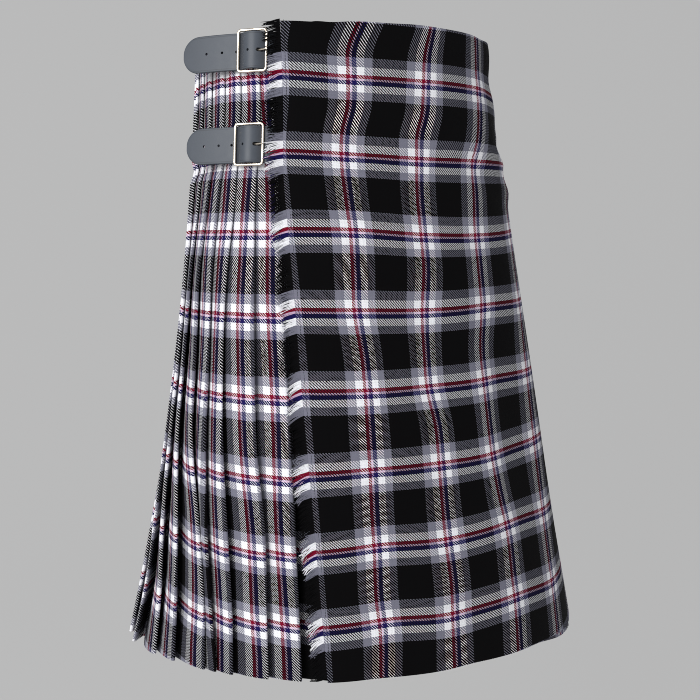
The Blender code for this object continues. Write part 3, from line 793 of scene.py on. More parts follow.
# %% The colour and the tone of the two yarns
TONE_SEED = 0.37
colours, tones = [], []
for index in (yarn_across, yarn_down):
    middle = work("DIVIDE", work("ADD", index, 0.5), float(YARNS))
    colours.append(use_group(twill, stripes, Setts=middle)["Colour"])
    chance = twill.nodes.new("ShaderNodeTexWhiteNoise")
    chance.noise_dimensions = "1D"
    feed(twill, chance.inputs["W"], work("ADD", index, TONE_SEED))
    tones.append(chance.outputs["Value"])
print(len(colours), "yarns cross at every spot")

# %% Lay one yarn over the other
# Heights on a yarn: painted shade fills the gap beside it up to the first, and its own colour is full from
# the second.
GAP_SHADE_TO, YARN_FROM = 0.42, 0.84
# Painted shade between two yarns, and painted light along each yarn's middle, as shares of its colour.
SHADE_BETWEEN, LIGHT_ON_TOP = 0.84, 1.06
darker = blend(twill, 1.0, *colours, "DARKEN")
on_top = blend(twill, upright_on_top, colours[1], blend(twill, in_slant, darker, colours[0]))
shows = work("MAXIMUM", spread(twill, height, start=GAP_SHADE_TO, end=YARN_FROM), in_slant)
# Between two yarns the darker colour stands for painted shade.
yarn_colour = blend(twill, shows, darker, on_top)
tone = blend(twill, upright_on_top, tones[1], tones[0])
uneven = work("MULTIPLY", work("SUBTRACT", tone, 0.5), twill_in["Unevenness"])
tone_and_shading = work("MULTIPLY", work("ADD", 1.0, uneven), spread(twill, height, SHADE_BETWEEN, LIGHT_ON_TOP))
feed(twill, twill_out["Colour"], blend(twill, 1.0, yarn_colour, tone_and_shading, "MULTIPLY"))
feed(twill, twill_out["Height"], height)
print("twill group:", len(twill.nodes), "nodes")

# %% [markdown]
# ## The cloth's surface
#
# Wool twill is dull and a little soft at its edges, and no dye lot is quite even. A rough surface with a
# trace of sheen gives the softness, and a wide, faint cloudiness varies the tone. The yarns' own roundness
# is a bump: it is a tenth of a millimetre, far too fine to be worth real faces.

# %% Helpers for materials
def new_material(name, roughness, specular=0.5):
    """A material, its nodes and its surface shader."""
    made = bpy.data.materials.new(name)
    made.use_nodes = True
    shader = made.node_tree.nodes["Principled BSDF"]
    shader.inputs["Roughness"].default_value = roughness
    shader.inputs["Specular IOR Level"].default_value = specular
    return made, made.node_tree, shader


def on_piece(tree):
    """The place on the piece itself, in metres."""
    return tree.nodes.new("ShaderNodeTexCoord").outputs["Object"]


def in_weave(tree):
    """The two counts of the UV map: across and down."""
    uv_map = tree.nodes.new("ShaderNodeUVMap")
    uv_map.uv_map = "weave"
    parts = tree.nodes.new("ShaderNodeSeparateXYZ")
    feed(tree, parts.inputs["Vector"], uv_map.outputs["UV"])
    return parts.outputs["X"], parts.outputs["Y"]


def paint(tree, shader, colour, tint=None):
    """Gives a surface its colour, which may be made lighter and darker by a tint."""
    if tint is not None:
        colour = blend(tree, 1.0, colour, tint, "MULTIPLY")
    feed(tree, shader.inputs["Base Color"], colour)


def bump(tree, shader, height, distance, strength):
    """Fine relief, from a height between 0 and 1. The distance is in metres."""
    node = tree.nodes.new("ShaderNodeBump")
    for name, value in (("Strength", strength), ("Distance", distance), ("Height", height)):
        feed(tree, node.inputs[name], value)
    feed(tree, shader.inputs["Normal"], node.outputs["Normal"])


print("material helpers ready")

# %% The cloth's material
cloth, tree, shader = new_material("kilt_twill", roughness=0.85, specular=0.05)
shader.inputs["Sheen Weight"].default_value = 0.015
shader.inputs["Sheen Roughness"].default_value = 0.5
across, downward = in_weave(tree)
weave = use_group(tree, twill, Across=across, Down=downward, Unevenness=0.16)
cloudy = spread(tree, noise(tree, on_piece(tree), scale=9.0, detail=3.0), 0.90, 1.08)
paint(tree, shader, weave["Colour"], cloudy)
bump(tree, shader, weave["Height"], distance=0.00025, strength=0.35)
print("cloth material:", len(tree.nodes), "nodes")

# %% [markdown]
# ## The four lengths of cloth
#
# The strip is cut into the four lengths that a maker would seam: the over apron that crosses the front,
# the pleats round the left half of the back, the pleats round the right half, and the under apron. The
# rows lie a few millimetres apart, close enough for every crease to turn smoothly.

# %% Work out every row of the cloth
ROW_STEP = 5.0
LENGTH_NAMES = ("over_apron", "pleats_left", "pleats_right", "under_apron")
heights = np.linspace(0, DROP, int(DROP / ROW_STEP) + 1)
sections = [strip(down) for down in heights]
woven_rows = [woven(line, lengths, edges, down) for down, (line, lengths, _, edges) in zip(heights, sections)]
seams = sections[0][2]
spans = list(zip([0] + seams, seams + [len(sections[0][0])]))
print(len(heights), "rows, cut into", len(spans), "lengths")

# %% Weave the four lengths
SEAM_GAP = 0.3
# The strap pulls down the pleats beneath it and not the apron, whose rim and hem are read from here on.
APRON_ENDS_FROM = -80.0


def cut_row(line, across, following, first, last):
    """One row of one length. It starts a seam's gap after the end of the length before it."""
    part, marks, ahead = line[first:last], across[first:last], following[first:last]
    if first:
        stride = line[first] - line[first - 1]
        size = np.linalg.norm(stride)
        part = np.vstack([line[first - 1] + stride * SEAM_GAP / size, part])
        marks, ahead = np.append(marks[0] - (size - SEAM_GAP) / SETT, marks), np.append(marks[0], ahead)
    return part, marks, ahead


for name, (first, last) in zip(LENGTH_NAMES, spans):
    rows = []
    for down, section, woven_row in zip(heights, sections, woven_rows):
        part, marks, ahead = cut_row(section[0], *woven_row, first, last)
        if name == "over_apron":
            lower = lowered(np.maximum(part[:, 0], APRON_ENDS_FROM), down)
        else:
            lower = lowered(part[:, 0], down, -part[:, 1])
        faces_at = [place_lowered(down, *sideways(part, side * CLOTH / 2).T, lower) for side in (-1, 1)]
        rows.append((*faces_at, marks, ahead, setts_down(part[:, 0], down, lower)))
    grids = [np.array(grid) for grid in zip(*rows)]
    piece = wall(f"{name}_cloth", *grids, cloth)
    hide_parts(name)
    widths = np.linalg.norm(np.diff(grids[0], axis=1), axis=2).sum(axis=1)
    print(name, len(piece.data.polygons), "faces,", widths[[0, -1]].round(3), "m wide at rim and hem")

# %% [markdown]
# ## The fringe
#
# The over apron's free edge is fringed: the upright yarns are drawn out, and the yarns that run across are
# left loose. Each loose yarn keeps the colour of its row of the check and hangs down a little, more so
# lower down where nothing holds the edge. Hair particles could do it, but yarns this short are quicker to
# control one by one: a root on the edge, a length, a droop and a small uneven turn.

# %% Tubes, and many pieces in one mesh
# A path that is upright to within this much has no level side of its own, and is given one.
UPRIGHT_WITHIN = 1e-3


def tube(path, radii, sides, turn=0.0):
    """Points and quads of a round tube along a path, with its ends drawn to a cap."""
    path = np.asarray(path, float)
    along = np.gradient(path, axis=0)
    along /= np.linalg.norm(along, axis=1)[:, None]
    aside = np.cross(along, (0.0, 0.0, 1.0))
    upright = np.linalg.norm(aside, axis=1) < UPRIGHT_WITHIN
    aside[upright] = np.cross(along[upright], (0.0, 1.0, 0.0))
    aside /= np.linalg.norm(aside, axis=1)[:, None]
    over = np.cross(aside, along)
    angles = turn + np.arange(sides) * 2 * math.pi / sides
    circle = aside[:, None] * np.cos(angles)[None, :, None] + over[:, None] * np.sin(angles)[None, :, None]
    points = path[:, None] + circle * np.asarray(radii, float)[:, None, None]
    at = np.arange(len(path) * sides).reshape(len(path), sides)
    ahead = np.roll(at, -1, axis=1)
    quads = np.stack([at[:-1], ahead[:-1], ahead[1:], at[1:]], axis=-1).reshape(-1, 4)
    return points.reshape(-1, 3), [tuple(q) for q in quads], [tuple(at[0][::-1]), tuple(at[-1])]


def merge(pieces):
    """Joins several (points, quads, caps) into one list of points and faces. Also says whose each face is."""
    points, faces, owner, first = [], [], [], 0
    for index, (part, quads, caps) in enumerate(pieces):
        points.append(part)
        for face in quads + caps:
            faces.append(tuple(int(i) + first for i in face))
            owner.append(index)
        first += len(part)
    return np.vstack(points), faces, owner


def place_each(points):
    """As place, for points that are each at their own height."""
    return np.array([place(down, around, out) for down, around, out in points])


print("tube helper ready")

# %% Sizes of the loose yarns
YARN_RADIUS, YARN_TAPER = 0.44, 0.45
YARN_RINGS, YARN_SIDES = 7, 4
YARN_LENGTH, YARN_LENGTH_SPREAD = 15.0, 2.8
LENGTH_WAVE, LENGTH_WAVE_STEP, LENGTH_CHANCE = 0.6, 0.11, 0.55
FIRST_YARN, YARN_PITCH, PITCH_CHANCE = 1.2, 0.46, 0.12
ROOT_OUTSIDE, COLOUR_FROM_INSIDE = 0.15, 2.0
LAST_YARN_ABOVE_HEM, FRINGE_ABOVE_HEM = 6.0, 4.0
# How steeply the yarns hang, in degrees, at the rim and at the hem. They bend down along their length.
DROOP, DROOP_SPREAD = (22.0, 46.0), 5.0
DROOP_WAVE, DROOP_WAVE_STEP = 5.0, 0.043
DROOP_AT_ROOT = 0.35
# They climb away from the cloth by this share of their reach.
YARN_RISE, RISE_CHANCE = 0.04, 0.05
# Each yarn also waves a little in and out along its length.
WAVE_OUT, WAVES_OUT = 0.3, 5
# The ends cling together in locks.
LOCK, LOCK_PULL = 4.6, 0.75
LOCK_WAVE, LOCK_WAVE_STEP = 0.35, 0.9
# Beside the buckles the yarns are trimmed to the frame and lie over the strap.
BUCKLES = {"upper": (29.0, -134.0), "lower": (113.5, -144.5), "left": (29.0, 268.0)}
FRAME_LENGTH, FRAME_HEIGHT = 30.0, 39.6
BESIDE_BUCKLE, BESIDE_LOWER = 28.0, 3.0
OVER_BUCKLE, OVER_BUCKLE_CHANCE = 3.6, 1.2
OVER_STRAP = 0.27
print("yarns are", 2 * YARN_RADIUS, "mm thick and about", YARN_LENGTH, "mm long")

# %% Yarn ends, each in the colour of its row
rng = np.random.default_rng(27)


def length_and_rise(down, edge):
    """How long a yarn is, and how far it climbs for each millimetre of its reach."""
    uneven = LENGTH_WAVE * math.sin(down * LENGTH_WAVE_STEP) + rng.normal(0, LENGTH_CHANCE)
    length, rise = YARN_LENGTH + YARN_LENGTH_SPREAD * uneven, YARN_RISE
    for buckle_down, bar_round in (BUCKLES["upper"], BUCKLES["lower"]):
        if abs(down + BESIDE_LOWER - buckle_down) < BESIDE_BUCKLE:
            room = edge - bar_round - FRAME_LENGTH / 2 + OVER_BUCKLE
            length, rise = min(length, room + rng.normal(0, OVER_BUCKLE_CHANCE)), OVER_STRAP
    return length, rise


def loose_yarn(down):
    """One yarn as a tube, and its row of the check."""
    row = folds_at(down)
    edge, out = -row["apron_edge"] - ROOT_OUTSIDE, row["lift"] - CLOTH / 2
    length, rise = length_and_rise(down, edge)
    droop = DROOP[0] + (DROOP[1] - DROOP[0]) * down / DROP
    droop += DROOP_WAVE * math.sin(down * DROOP_WAVE_STEP) + rng.normal(0, DROOP_SPREAD)
    rise += rng.normal(0, RISE_CHANCE)
    share = np.linspace(0, 1, YARN_RINGS)
    bent = math.radians(droop) * (DROOP_AT_ROOT + (1 - DROOP_AT_ROOT) * share[1:])
    reach, fall = (
        np.concatenate([[0.0], np.cumsum(way(bent))]) * length / (YARN_RINGS - 1) for way in (np.cos, np.sin)
    )
    lock = (math.floor(down / LOCK + LOCK_WAVE * math.sin(down * LOCK_WAVE_STEP)) + 0.5) * LOCK
    fall = fall + (lock - down) * LOCK_PULL * share**2
    low = np.minimum(down + fall, DROP - FRINGE_ABOVE_HEM)
    outs = out + rise * reach + WAVE_OUT * np.sin(share * WAVES_OUT + down)
    radii = YARN_RADIUS * MM * (1.0 - YARN_TAPER * share**2)
    path = place_each(zip(low, edge - reach, outs))
    mark = float(setts_down(np.array([edge + COLOUR_FROM_INSIDE]), down, 0.0)[0])
    return tube(path, radii, YARN_SIDES, rng.uniform(0, 1)), mark


yarns, yarn_marks = [], []
down = FIRST_YARN
while down < DROP - LAST_YARN_ABOVE_HEM:
    yarn, mark = loose_yarn(down)
    yarns.append(yarn)
    yarn_marks.append(mark)
    down += YARN_PITCH * (1 + rng.normal(0, PITCH_CHANCE))
points, faces, owner = merge(yarns)
uv = [(0.5, yarn_marks[who]) for face, who in zip(faces, owner) for _ in face]
print(len(yarns), "yarn ends,", len(faces), "faces")

# %% [markdown]
# ## The fringe's colours
#
# A loose yarn is dyed all through, so it is one colour from root to tip: that of its own row. Each yarn
# could have a material of its own, but six colours would then mean six materials. The stripe group
# that colours the cloth does it in one: every face of a yarn holds the same count down, and a fine noise
# makes the wool look fuzzy.

# %% The fringe's material
yarn_stuff, tree, shader = new_material("fringe_yarn", roughness=0.9, specular=0.08)
_, downward = in_weave(tree)
fuzz = spread(tree, noise(tree, on_piece(tree), scale=900.0, detail=1.0), 0.72, 1.1)
paint(tree, shader, use_group(tree, stripes, Setts=downward)["Colour"], fuzz)
fringe = mesh_piece("apron_fringe_yarns", points, faces, yarn_stuff, uv)
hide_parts("apron_fringe")
print("fringe made")

# %% [markdown]
# ## The stitching beside the fringe
#
# A row of dark stitches down the apron's edge stops the weave from fraying further. Each stitch is a short
# length of thread that dips into the cloth at both ends. It could be painted as a line, but real stitches
# catch the light and cast a thread's shadow.

# %% Stitches down the fringed edge
STITCH_FROM_EDGE, STITCH_ENDS = 3.2, 3.0
STITCH_PITCH, STITCH_LENGTH = 2.6, 2.0
STITCH_ARCH, STITCH_DIP = 0.16, 0.06
THREAD_RADIUS, THREAD_RINGS, THREAD_SIDES = 0.22, 5, 5

stitches = []
for down in np.arange(STITCH_ENDS, DROP - STITCH_ENDS, STITCH_PITCH):
    row = folds_at(down)
    around = -row["apron_edge"] + STITCH_FROM_EDGE
    out = float(edge_lift(np.array([around]), row)[0]) + float(crease(np.array([around]), down)[0])
    path = place_each([
        (down + share * STITCH_LENGTH / 2, around, out + STITCH_ARCH * (1 - share * share) - STITCH_DIP)
        for share in np.linspace(-1, 1, THREAD_RINGS)
    ])
    stitches.append(tube(path, [THREAD_RADIUS * MM] * THREAD_RINGS, THREAD_SIDES))
thread, tree, shader = new_material("sewing_thread", roughness=0.7, specular=0.2)
strands = noise(tree, on_piece(tree), scale=1500.0)
paint(tree, shader, blend(tree, strands, (0.006, 0.006, 0.009, 1), (0.02, 0.02, 0.026, 1)))
points, faces, _ = merge(stitches)
edge_stitches = mesh_piece("apron_edge_stitches", points, faces, thread)
print(len(stitches), "stitches")

# %% [markdown]
# ## The straps
#
# Each strap is one thickness of smooth grey leather, rounded at its tip and punched with holes. It comes
# out from under the apron's edge, rises over the buckle's centre bar, and lies along the pleats beyond. A
# bent sheet with a bevel would look alike, but a rolled edge needs its thickness to thin out toward the
# sides. So the leather is a grid, its two faces drawn together along its outline.

# %% The straps' places, and the frame that each buckle stands in
# down and bar_round place the buckle's centre bar, and heading says which way round the tip points. root
# and tip are the strap's ends, in millimetres along it from the bar.
Strap = namedtuple("Strap", "name down bar_round heading root tip")
STRAPS = (
    Strap("upper", *BUCKLES["upper"], heading=-1, root=-42.0, tip=72.0),
    Strap("lower", *BUCKLES["lower"], heading=-1, root=-52.5, tip=66.0),
    Strap("left", *BUCKLES["left"], heading=1, root=-40.0, tip=72.0),
)
SEAT_ALONG, SEAT_UP = 3.0, 15.0


def seat(strap):
    """A local frame on the cloth: +X runs toward the strap's tip, +Y up and +Z straight out."""
    down, around = strap.down, strap.bar_round
    reach = strap.heading * SEAT_ALONG
    here = place(down, [around], [0])[0]
    ahead, behind = place(down, [around + reach, around - reach], [0, 0])
    above, below = place(down - SEAT_UP, [around], [0])[0], place(down + SEAT_UP, [around], [0])[0]
    along, up = ahead - behind, above - below
    along /= np.linalg.norm(along)
    up -= along * up.dot(along)
    up /= np.linalg.norm(up)
    out = np.cross(along, up) * strap.heading
    return Matrix([[along[i], up[i], out[i], here[i]] for i in range(3)] + [[0, 0, 0, 1]])


SEATS = {strap.name: seat(strap) for strap in STRAPS}
print("buckles at", [[round(v, 3) for v in SEATS[name].translation] for name in SEATS])

# %% The line that a strap follows, seen from its edge
# Beyond the buckle the strap lies flat out, then bends gently with the hip.
STRAP_FLAT_OUT, STRAP_STRAIGHT_FROM, STRAP_BEND = 2.9, 20.0, 260.0
# Distance from the root and distance out, where a strap comes from under the apron.
RIGHT_ROOT = ((0.0, -0.6), (18.0, 0.6))
LEFT_ROOT = ((0.0, -1.4), (4.0, -0.7), (8.0, 0.3), (12.0, 1.1), (18.0, 1.9))
# The left strap leaves just behind the apron's fold, at every height.
LEFT_ROOT_GAP, LEFT_ROOT_FADE = 0.4, 30.0
# Distance from the centre bar and distance out, where the strap rises over the bar.
BEFORE_BULGE = (-17.0, 2.6)
STRAP_BULGE = ((12.8, 2.9), (10.5, 3.7), (7.0, 5.9), (3.5, 7.6), (0.0, 8.1))
# Between these two distances the strap passes from the cloth's shape to the buckle's.
STRAP_LEAVES = (-22.0, -16.0)
LINE_STEP, FREE_STEPS = 1.6, 12
TIP_RUN, TIP_STEPS, TIP_SHORT = 4.0, 9, 0.02


def strap_line(strap):
    """The strap's middle line: distance along it from the centre bar, and distance out."""
    root = LEFT_ROOT if strap.name == "left" else RIGHT_ROOT
    start = [(strap.root + at, out) for at, out in root] + [BEFORE_BULGE]
    bulge = [(-at, out) for at, out in STRAP_BULGE[:-1]] + list(reversed(STRAP_BULGE))
    free = np.linspace(STRAP_STRAIGHT_FROM, strap.tip, FREE_STEPS)
    hug = [(at, STRAP_FLAT_OUT - (at - STRAP_STRAIGHT_FROM) ** 2 / (2 * STRAP_BEND)) for at in free]
    known = np.array(start + bulge + hug)
    body = np.arange(known[0, 0], strap.tip - TIP_RUN, LINE_STEP)
    end = strap.tip - TIP_RUN * (1 - np.linspace(0, 1, TIP_STEPS)[:-1]) ** 2
    fine = np.concatenate([body, end, [strap.tip - TIP_SHORT]])
    return np.stack([fine, smooth_curve(fine, known[:, 0], known[:, 1])], axis=1)


def strap_point(strap, along, up, out):
    """A point of a strap. Its root follows the cloth, and from its buckle on it follows the buckle."""
    around = strap.bar_round + strap.heading * along
    if strap.name == "left":
        fold = folds_at(strap.down - up)["apron_left"] + CLOTH / 2 + LEFT_ROOT_GAP
        around += (fold - strap.bar_round - strap.root) * max(0.0, 1 - (along - strap.root) / LEFT_ROOT_FADE)
    on_cloth = Vector(place(strap.down - up, [around], [out])[0])
    on_buckle = SEATS[strap.name] @ (Vector((along, up, out)) * MM)
    start, end = STRAP_LEAVES
    return on_cloth.lerp(on_buckle, min(1.0, max(0.0, (along - start) / (end - start))))


print("the upper strap is", round(np.ptp(strap_line(STRAPS[0])[:, 0])), "mm long from root to tip")

# %% A strap's two faces
STRAP_WIDTH, STRAP_THICK, ROLLED_EDGE = 33.8, 2.2, 1.0
# The tip is rounded over this length, and is never quite drawn in to a point.
STRAP_TIP_ROUND, TIP_POWER, TIP_LEFT = 18.0, 2.2, 0.01
# The square of the share of its thickness that the leather keeps at its very edge.
THINNEST = 0.02
# A UV of 1 stands for 100 mm of leather.
MARK = 0.01
# Stations across the strap, as shares of its half width. They are drawn close at the rolled edges.
ROLL_STEPS, FLAT_STEPS = 6, 13
rolled = ROLLED_EDGE / (STRAP_WIDTH / 2)
at_roll = 1 - rolled + rolled * np.sin(np.linspace(0, math.pi / 2, ROLL_STEPS)[1:])
SHARES = np.concatenate([-at_roll[::-1], np.linspace(-1 + rolled, 1 - rolled, FLAT_STEPS), at_roll])


def strap_faces(strap):
    """The strap's top and under faces, and where each point lies on the leather."""
    line = strap_line(strap)
    top, under, mark = [], [], []
    for (along, out), normal in zip(line, sideways(line, 1.0) - line):
        into = max(0.0, (along - (strap.tip - STRAP_TIP_ROUND)) / STRAP_TIP_ROUND)
        half = STRAP_WIDTH / 2 * math.sqrt(max(0.0, 1 - into**TIP_POWER))
        for grid in (top, under, mark):
            grid.append([])
        for share in SHARES:
            inside = min((1 - abs(share)) * max(half, TIP_LEFT), strap.tip - along)
            roll = max(0.0, 1 - inside / ROLLED_EDGE)
            thick = STRAP_THICK / 2 * math.sqrt(max(THINNEST, 1 - roll**2))
            for grid, side in ((top, 1), (under, -1)):
                at = np.array((along, out)) + normal * thick * side
                grid[-1].append(strap_point(strap, at[0], share * half, at[1]))
            mark[-1].append((along * MARK, share * half * MARK))
    return np.array(top), np.array(under), np.array(mark)


print(len(SHARES), "stations across a strap")

# %% [markdown]
# ## Holes and slot
#
# A strap has a row of punched holes for the prong, and a longer slot where the prong passes through beside
# the bar. Dark dots would do from far off, but a hole shows its depth and the pleats behind it. So a tool
# of pegs is cut out of the leather once with a boolean, as a punch would do, and then thrown away.

# %% Pegs for the holes and a block for the slot
STRAP_HOLES = {
    "upper": (46.5, 30.5, 16.2, 2.9),
    "lower": (46.3, 30.9, 17.9, 4.6),
    "left": (46.5, 31.0, 16.5, 2.9),
}
HOLE_RADIUS, HOLE_SIDES, PUNCH_REACH = 1.25, 20, 4
SLOT, SLOT_WIDTH, SLOT_CUT = (-11.5, -4.5), 3.4, (-2.0, 12.0)
ROUND_STEPS = 9


def pegs(strap):
    """One round peg for each hole, square to the strap's line."""
    line = strap_line(strap)
    for at in STRAP_HOLES[strap.name]:
        out = float(np.interp(at, line[:, 0], line[:, 1]))
        slope = float(np.interp(at, line[:, 0], np.gradient(line[:, 1], line[:, 0])))
        lean = np.array([-slope, 0.0, 1.0]) / math.hypot(slope, 1) * PUNCH_REACH
        centre = np.array([at, 0.0, out])
        yield tube([centre - lean, centre + lean], [HOLE_RADIUS] * 2, HOLE_SIDES)


def slot_block():
    """A block with round ends, as long as the slot."""
    half = SLOT_WIDTH / 2
    outline = [
        (middle + side * half * math.cos(turn), side * half * math.sin(turn))
        for middle, side in ((SLOT[1] - half, 1), (SLOT[0] + half, -1))
        for turn in np.radians(np.linspace(-90, 90, ROUND_STEPS))
    ]
    count = len(outline)
    points = np.array([(x, y, z) for z in SLOT_CUT for x, y in outline])
    quads = [(i, (i + 1) % count, count + (i + 1) % count, count + i) for i in range(count)]
    return points, quads, [tuple(range(count))[::-1], tuple(range(count, 2 * count))]


print("holes", 2 * HOLE_RADIUS, "mm wide, slot", SLOT[1] - SLOT[0], "mm long")

# %% Punch the leather
def outward(mesh):
    """Turns every face of a closed mesh outward."""
    work_mesh = bmesh.new()
    work_mesh.from_mesh(mesh)
    bmesh.ops.recalc_face_normals(work_mesh, faces=work_mesh.faces)
    work_mesh.to_mesh(mesh)
    work_mesh.free()


def punch(leather_piece, strap):
    """Cuts the tip's holes and the prong's slot through the leather."""
    points, faces, _ = merge([*pegs(strap), slot_block()])
    tool = plain_piece("punch", points, faces)
    tool.data.transform(SEATS[strap.name] @ Matrix.Scale(MM, 4))
    outward(tool.data)
    cut = leather_piece.modifiers.new("punch", "BOOLEAN")
    cut.operation, cut.solver, cut.object = "DIFFERENCE", "EXACT", tool
    bpy.context.view_layer.update()
    evaluated = leather_piece.evaluated_get(bpy.context.evaluated_depsgraph_get())
    holed = bpy.data.meshes.new_from_object(evaluated)
    leather_piece.modifiers.clear()
    leather_piece.data = holed
    bpy.data.objects.remove(tool, do_unlink=True)


print("punch ready")

# %% [markdown]
# ## The leather
#
# The leather is dyed slate grey and finished smooth. It is cloudy in tone, its pores are fine, and it is
# darker where it is cut or tooled: along its edges and in the line pressed beside them. Where it bends inside
# the buckle, shade is painted on it. Two kinds of piece use it, so the leather is a group that takes a mask
# of dark tone and painted shade, and each material makes a mask of its own.

# %% Smooth leather, as a group
grain, grain_in, grain_out = new_group(
    "smooth_leather",
    {"Vector": VECTOR, "Edge": FLOAT},
    {"Colour": COLOUR, "Height": FLOAT, "Roughness": FLOAT},
)
clouds = noise(grain, grain_in["Vector"], scale=110.0, detail=3.0)
body = blend(grain, clouds, (0.052, 0.062, 0.078, 1), (0.071, 0.082, 0.101, 1))
# The mask darkens the colour: on the straps it holds their dark edges and the painted shade at their bends.
feed(grain, grain_out["Colour"], blend(grain, grain_in["Edge"], body, (0.034, 0.038, 0.046, 1)))
feed(grain, grain_out["Height"], noise(grain, grain_in["Vector"], scale=2600.0))
feed(grain, grain_out["Roughness"], spread(grain, clouds, 0.42, 0.58))
print("leather group:", len(grain.nodes), "nodes")

# %% The straps' leather
# Distances on the leather, in millimetres: the pressed line, the dark edge and the bends, where shade is
# painted.
LINE_FROM_EDGE, LINE_HALF, DARK_EDGE = 2.0, 0.3, 0.6
BEND_FROM, BEND_TO, BENT_WITHIN = 4.5, 12.5, 14.0
# How dark the edges are, and how deep the painted shade at the bends is.
EDGE_DARK, BEND_SHADE = 0.7, 0.85
leather, tree, shader = new_material("strap_leather", roughness=0.5, specular=0.45)
work = partial(maths, tree)
along, up = in_weave(tree)
from_middle, from_bar = work("ABSOLUTE", up), work("ABSOLUTE", along)
off_line = work("ABSOLUTE", work("SUBTRACT", from_middle, (STRAP_WIDTH / 2 - LINE_FROM_EDGE) * MARK))
on_line = work("LESS_THAN", off_line, LINE_HALF * MARK)
at_edge = work("GREATER_THAN", from_middle, (STRAP_WIDTH / 2 - DARK_EDGE) * MARK)
# Painted shade where the leather bends under the frame.
bend_shade = spread(tree, from_bar, start=BEND_FROM * MARK, end=BEND_TO * MARK, ease="SMOOTHSTEP")
bend_shade = work("MULTIPLY", bend_shade, work("LESS_THAN", from_bar, BENT_WITHIN * MARK))
edges_dark = work("MULTIPLY", work("MAXIMUM", on_line, at_edge), EDGE_DARK)
dark_edges_and_bend_shade = work("MAXIMUM", edges_dark, work("MULTIPLY", bend_shade, BEND_SHADE))
skin = use_group(tree, grain, Vector=on_piece(tree), Edge=dark_edges_and_bend_shade)
paint(tree, shader, skin["Colour"])
feed(tree, shader.inputs["Roughness"], skin["Roughness"])
bump(tree, shader, skin["Height"], distance=0.0001, strength=0.25)
print("strap leather:", len(tree.nodes), "nodes")

# %% Make the straps
for strap in STRAPS:
    top, under, mark = strap_faces(strap)
    lengthwise = mark[..., 0]
    made = wall(f"strap_{strap.name}_leather", top, under, lengthwise, lengthwise, mark[..., 1], leather)
    outward(made.data)
    punch(made, strap)
    made.data.shade_smooth()
    made.data.set_sharp_from_angle(angle=math.radians(SHARP_FROM))
    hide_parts(f"strap_{strap.name}")
    print(made.name, len(made.data.polygons), "faces,", len(STRAP_HOLES[strap.name]), "holes")

# %% [markdown]
# ## Buckles and prongs
#
# A kilt's buckle is a plain nickel-plated frame with a centre bar. The prong hooks round the bar and rests
# on the frame. A bevelled rectangle would come close, but the frame is one wire bent to shape, a little
# squarer than round. So it is drawn as a tube along a rectangle with round corners, and the prong as a
# flatter bar that narrows toward its point.

# %% Helpers for the metal
# Below 1, a section is squarer than round.
SQUARED = 0.75


def put(name, pieces, material, strap, node):
    """Joins pieces made in a buckle's local millimetres and sets them in its place."""
    points, faces, _ = merge(pieces)
    world = np.array(SEATS[strap.name] @ Matrix.Scale(MM, 4))
    made = mesh_piece(name, points @ world[:3, :3].T + world[:3, 3], faces, material)
    outward(made.data)
    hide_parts(node)
    return made


def ring_tube(path, half_wide, half_thick, sides):
    """A closed loop of rounded section lying in the buckle's own plane."""
    path = np.asarray(path, float)
    along = np.roll(path, -1, axis=0) - np.roll(path, 1, axis=0)
    along /= np.linalg.norm(along, axis=1)[:, None]
    aside = np.stack([along[:, 1], -along[:, 0], np.zeros(len(path))], axis=1)
    angles = np.arange(sides) * 2 * math.pi / sides
    wide, thick = (
        half * np.sign(way(angles)) * np.abs(way(angles)) ** SQUARED
        for half, way in ((half_wide, np.cos), (half_thick, np.sin))
    )
    points = path[:, None] + aside[:, None] * wide[None, :, None]
    points = points + np.array([0, 0, 1.0]) * thick[None, :, None]
    at = np.arange(len(path) * sides).reshape(len(path), sides)
    over, ahead = np.roll(at, -1, axis=0), np.roll(at, -1, axis=1)
    quads = np.stack([at, ahead, np.roll(over, -1, axis=1), over], axis=-1).reshape(-1, 4)
    return points.reshape(-1, 3), [tuple(q) for q in quads], []


def flat_tube(path, half_wide, half_thick, sides=12):
    """A bar of rounded section, its width square to the strap. half_wide may change along it."""
    points, quads, caps = tube(path, np.ones(len(path)), sides, math.pi / sides)
    path = np.asarray(path, float)
    moved = points.reshape(len(path), sides, 3) - path[:, None]
    moved[..., 1] *= np.asarray(half_wide, float)[:, None]
    moved[..., [0, 2]] *= half_thick
    return (moved + path[:, None]).reshape(-1, 3), quads, caps


print("metal helpers ready")

# %% The lines of the frame, the bar and the prong
FRAME_BAR, FRAME_THICK, FRAME_CORNER, FRAME_OUT = 2.5, 2.4, 4.0, 5.5
BAR_OUT, BAR_RADIUS, BAR_SUNK, BAR_RINGS = 4.4, 1.1, 0.3, 5
FRAME_SIDES, BAR_SIDES = 16, 14
PRONG_THICK, PRONG_WIDTH, PRONG_POINT = 1.3, 2.2, 1.2
PRONG_FROM, PRONG_TIP = -5.5, -15.6
PRONG_CLIMB, CLIMB_POWER = 2.2, 1.5
PRONG_HOOK, HOOK_STEPS, REACH_STEPS = (35, -110), 10, 7


def frame_line():
    """The middle of the frame's wire, a rectangle with round corners."""
    length, height = FRAME_LENGTH - FRAME_BAR, FRAME_HEIGHT - FRAME_BAR
    corner = FRAME_CORNER - FRAME_BAR / 2
    return [
        (side * (length / 2 - corner) + corner * math.cos(angle),
         end * (height / 2 - corner) + corner * math.sin(angle),
         FRAME_OUT)
        for turn, (side, end) in enumerate(((1, 1), (-1, 1), (-1, -1), (1, -1)))
        for angle in np.radians(90 * turn + np.linspace(0, 90, ROUND_STEPS))
    ]


def bar_line():
    """The centre bar, its ends sunk into the frame."""
    ys = np.linspace(-1, 1, BAR_RINGS) * (FRAME_HEIGHT - FRAME_BAR) / 2
    outs = [FRAME_OUT - BAR_SUNK, *[BAR_OUT] * (BAR_RINGS - 2), FRAME_OUT - BAR_SUNK]
    return [(0.0, y, out) for y, out in zip(ys, outs)]


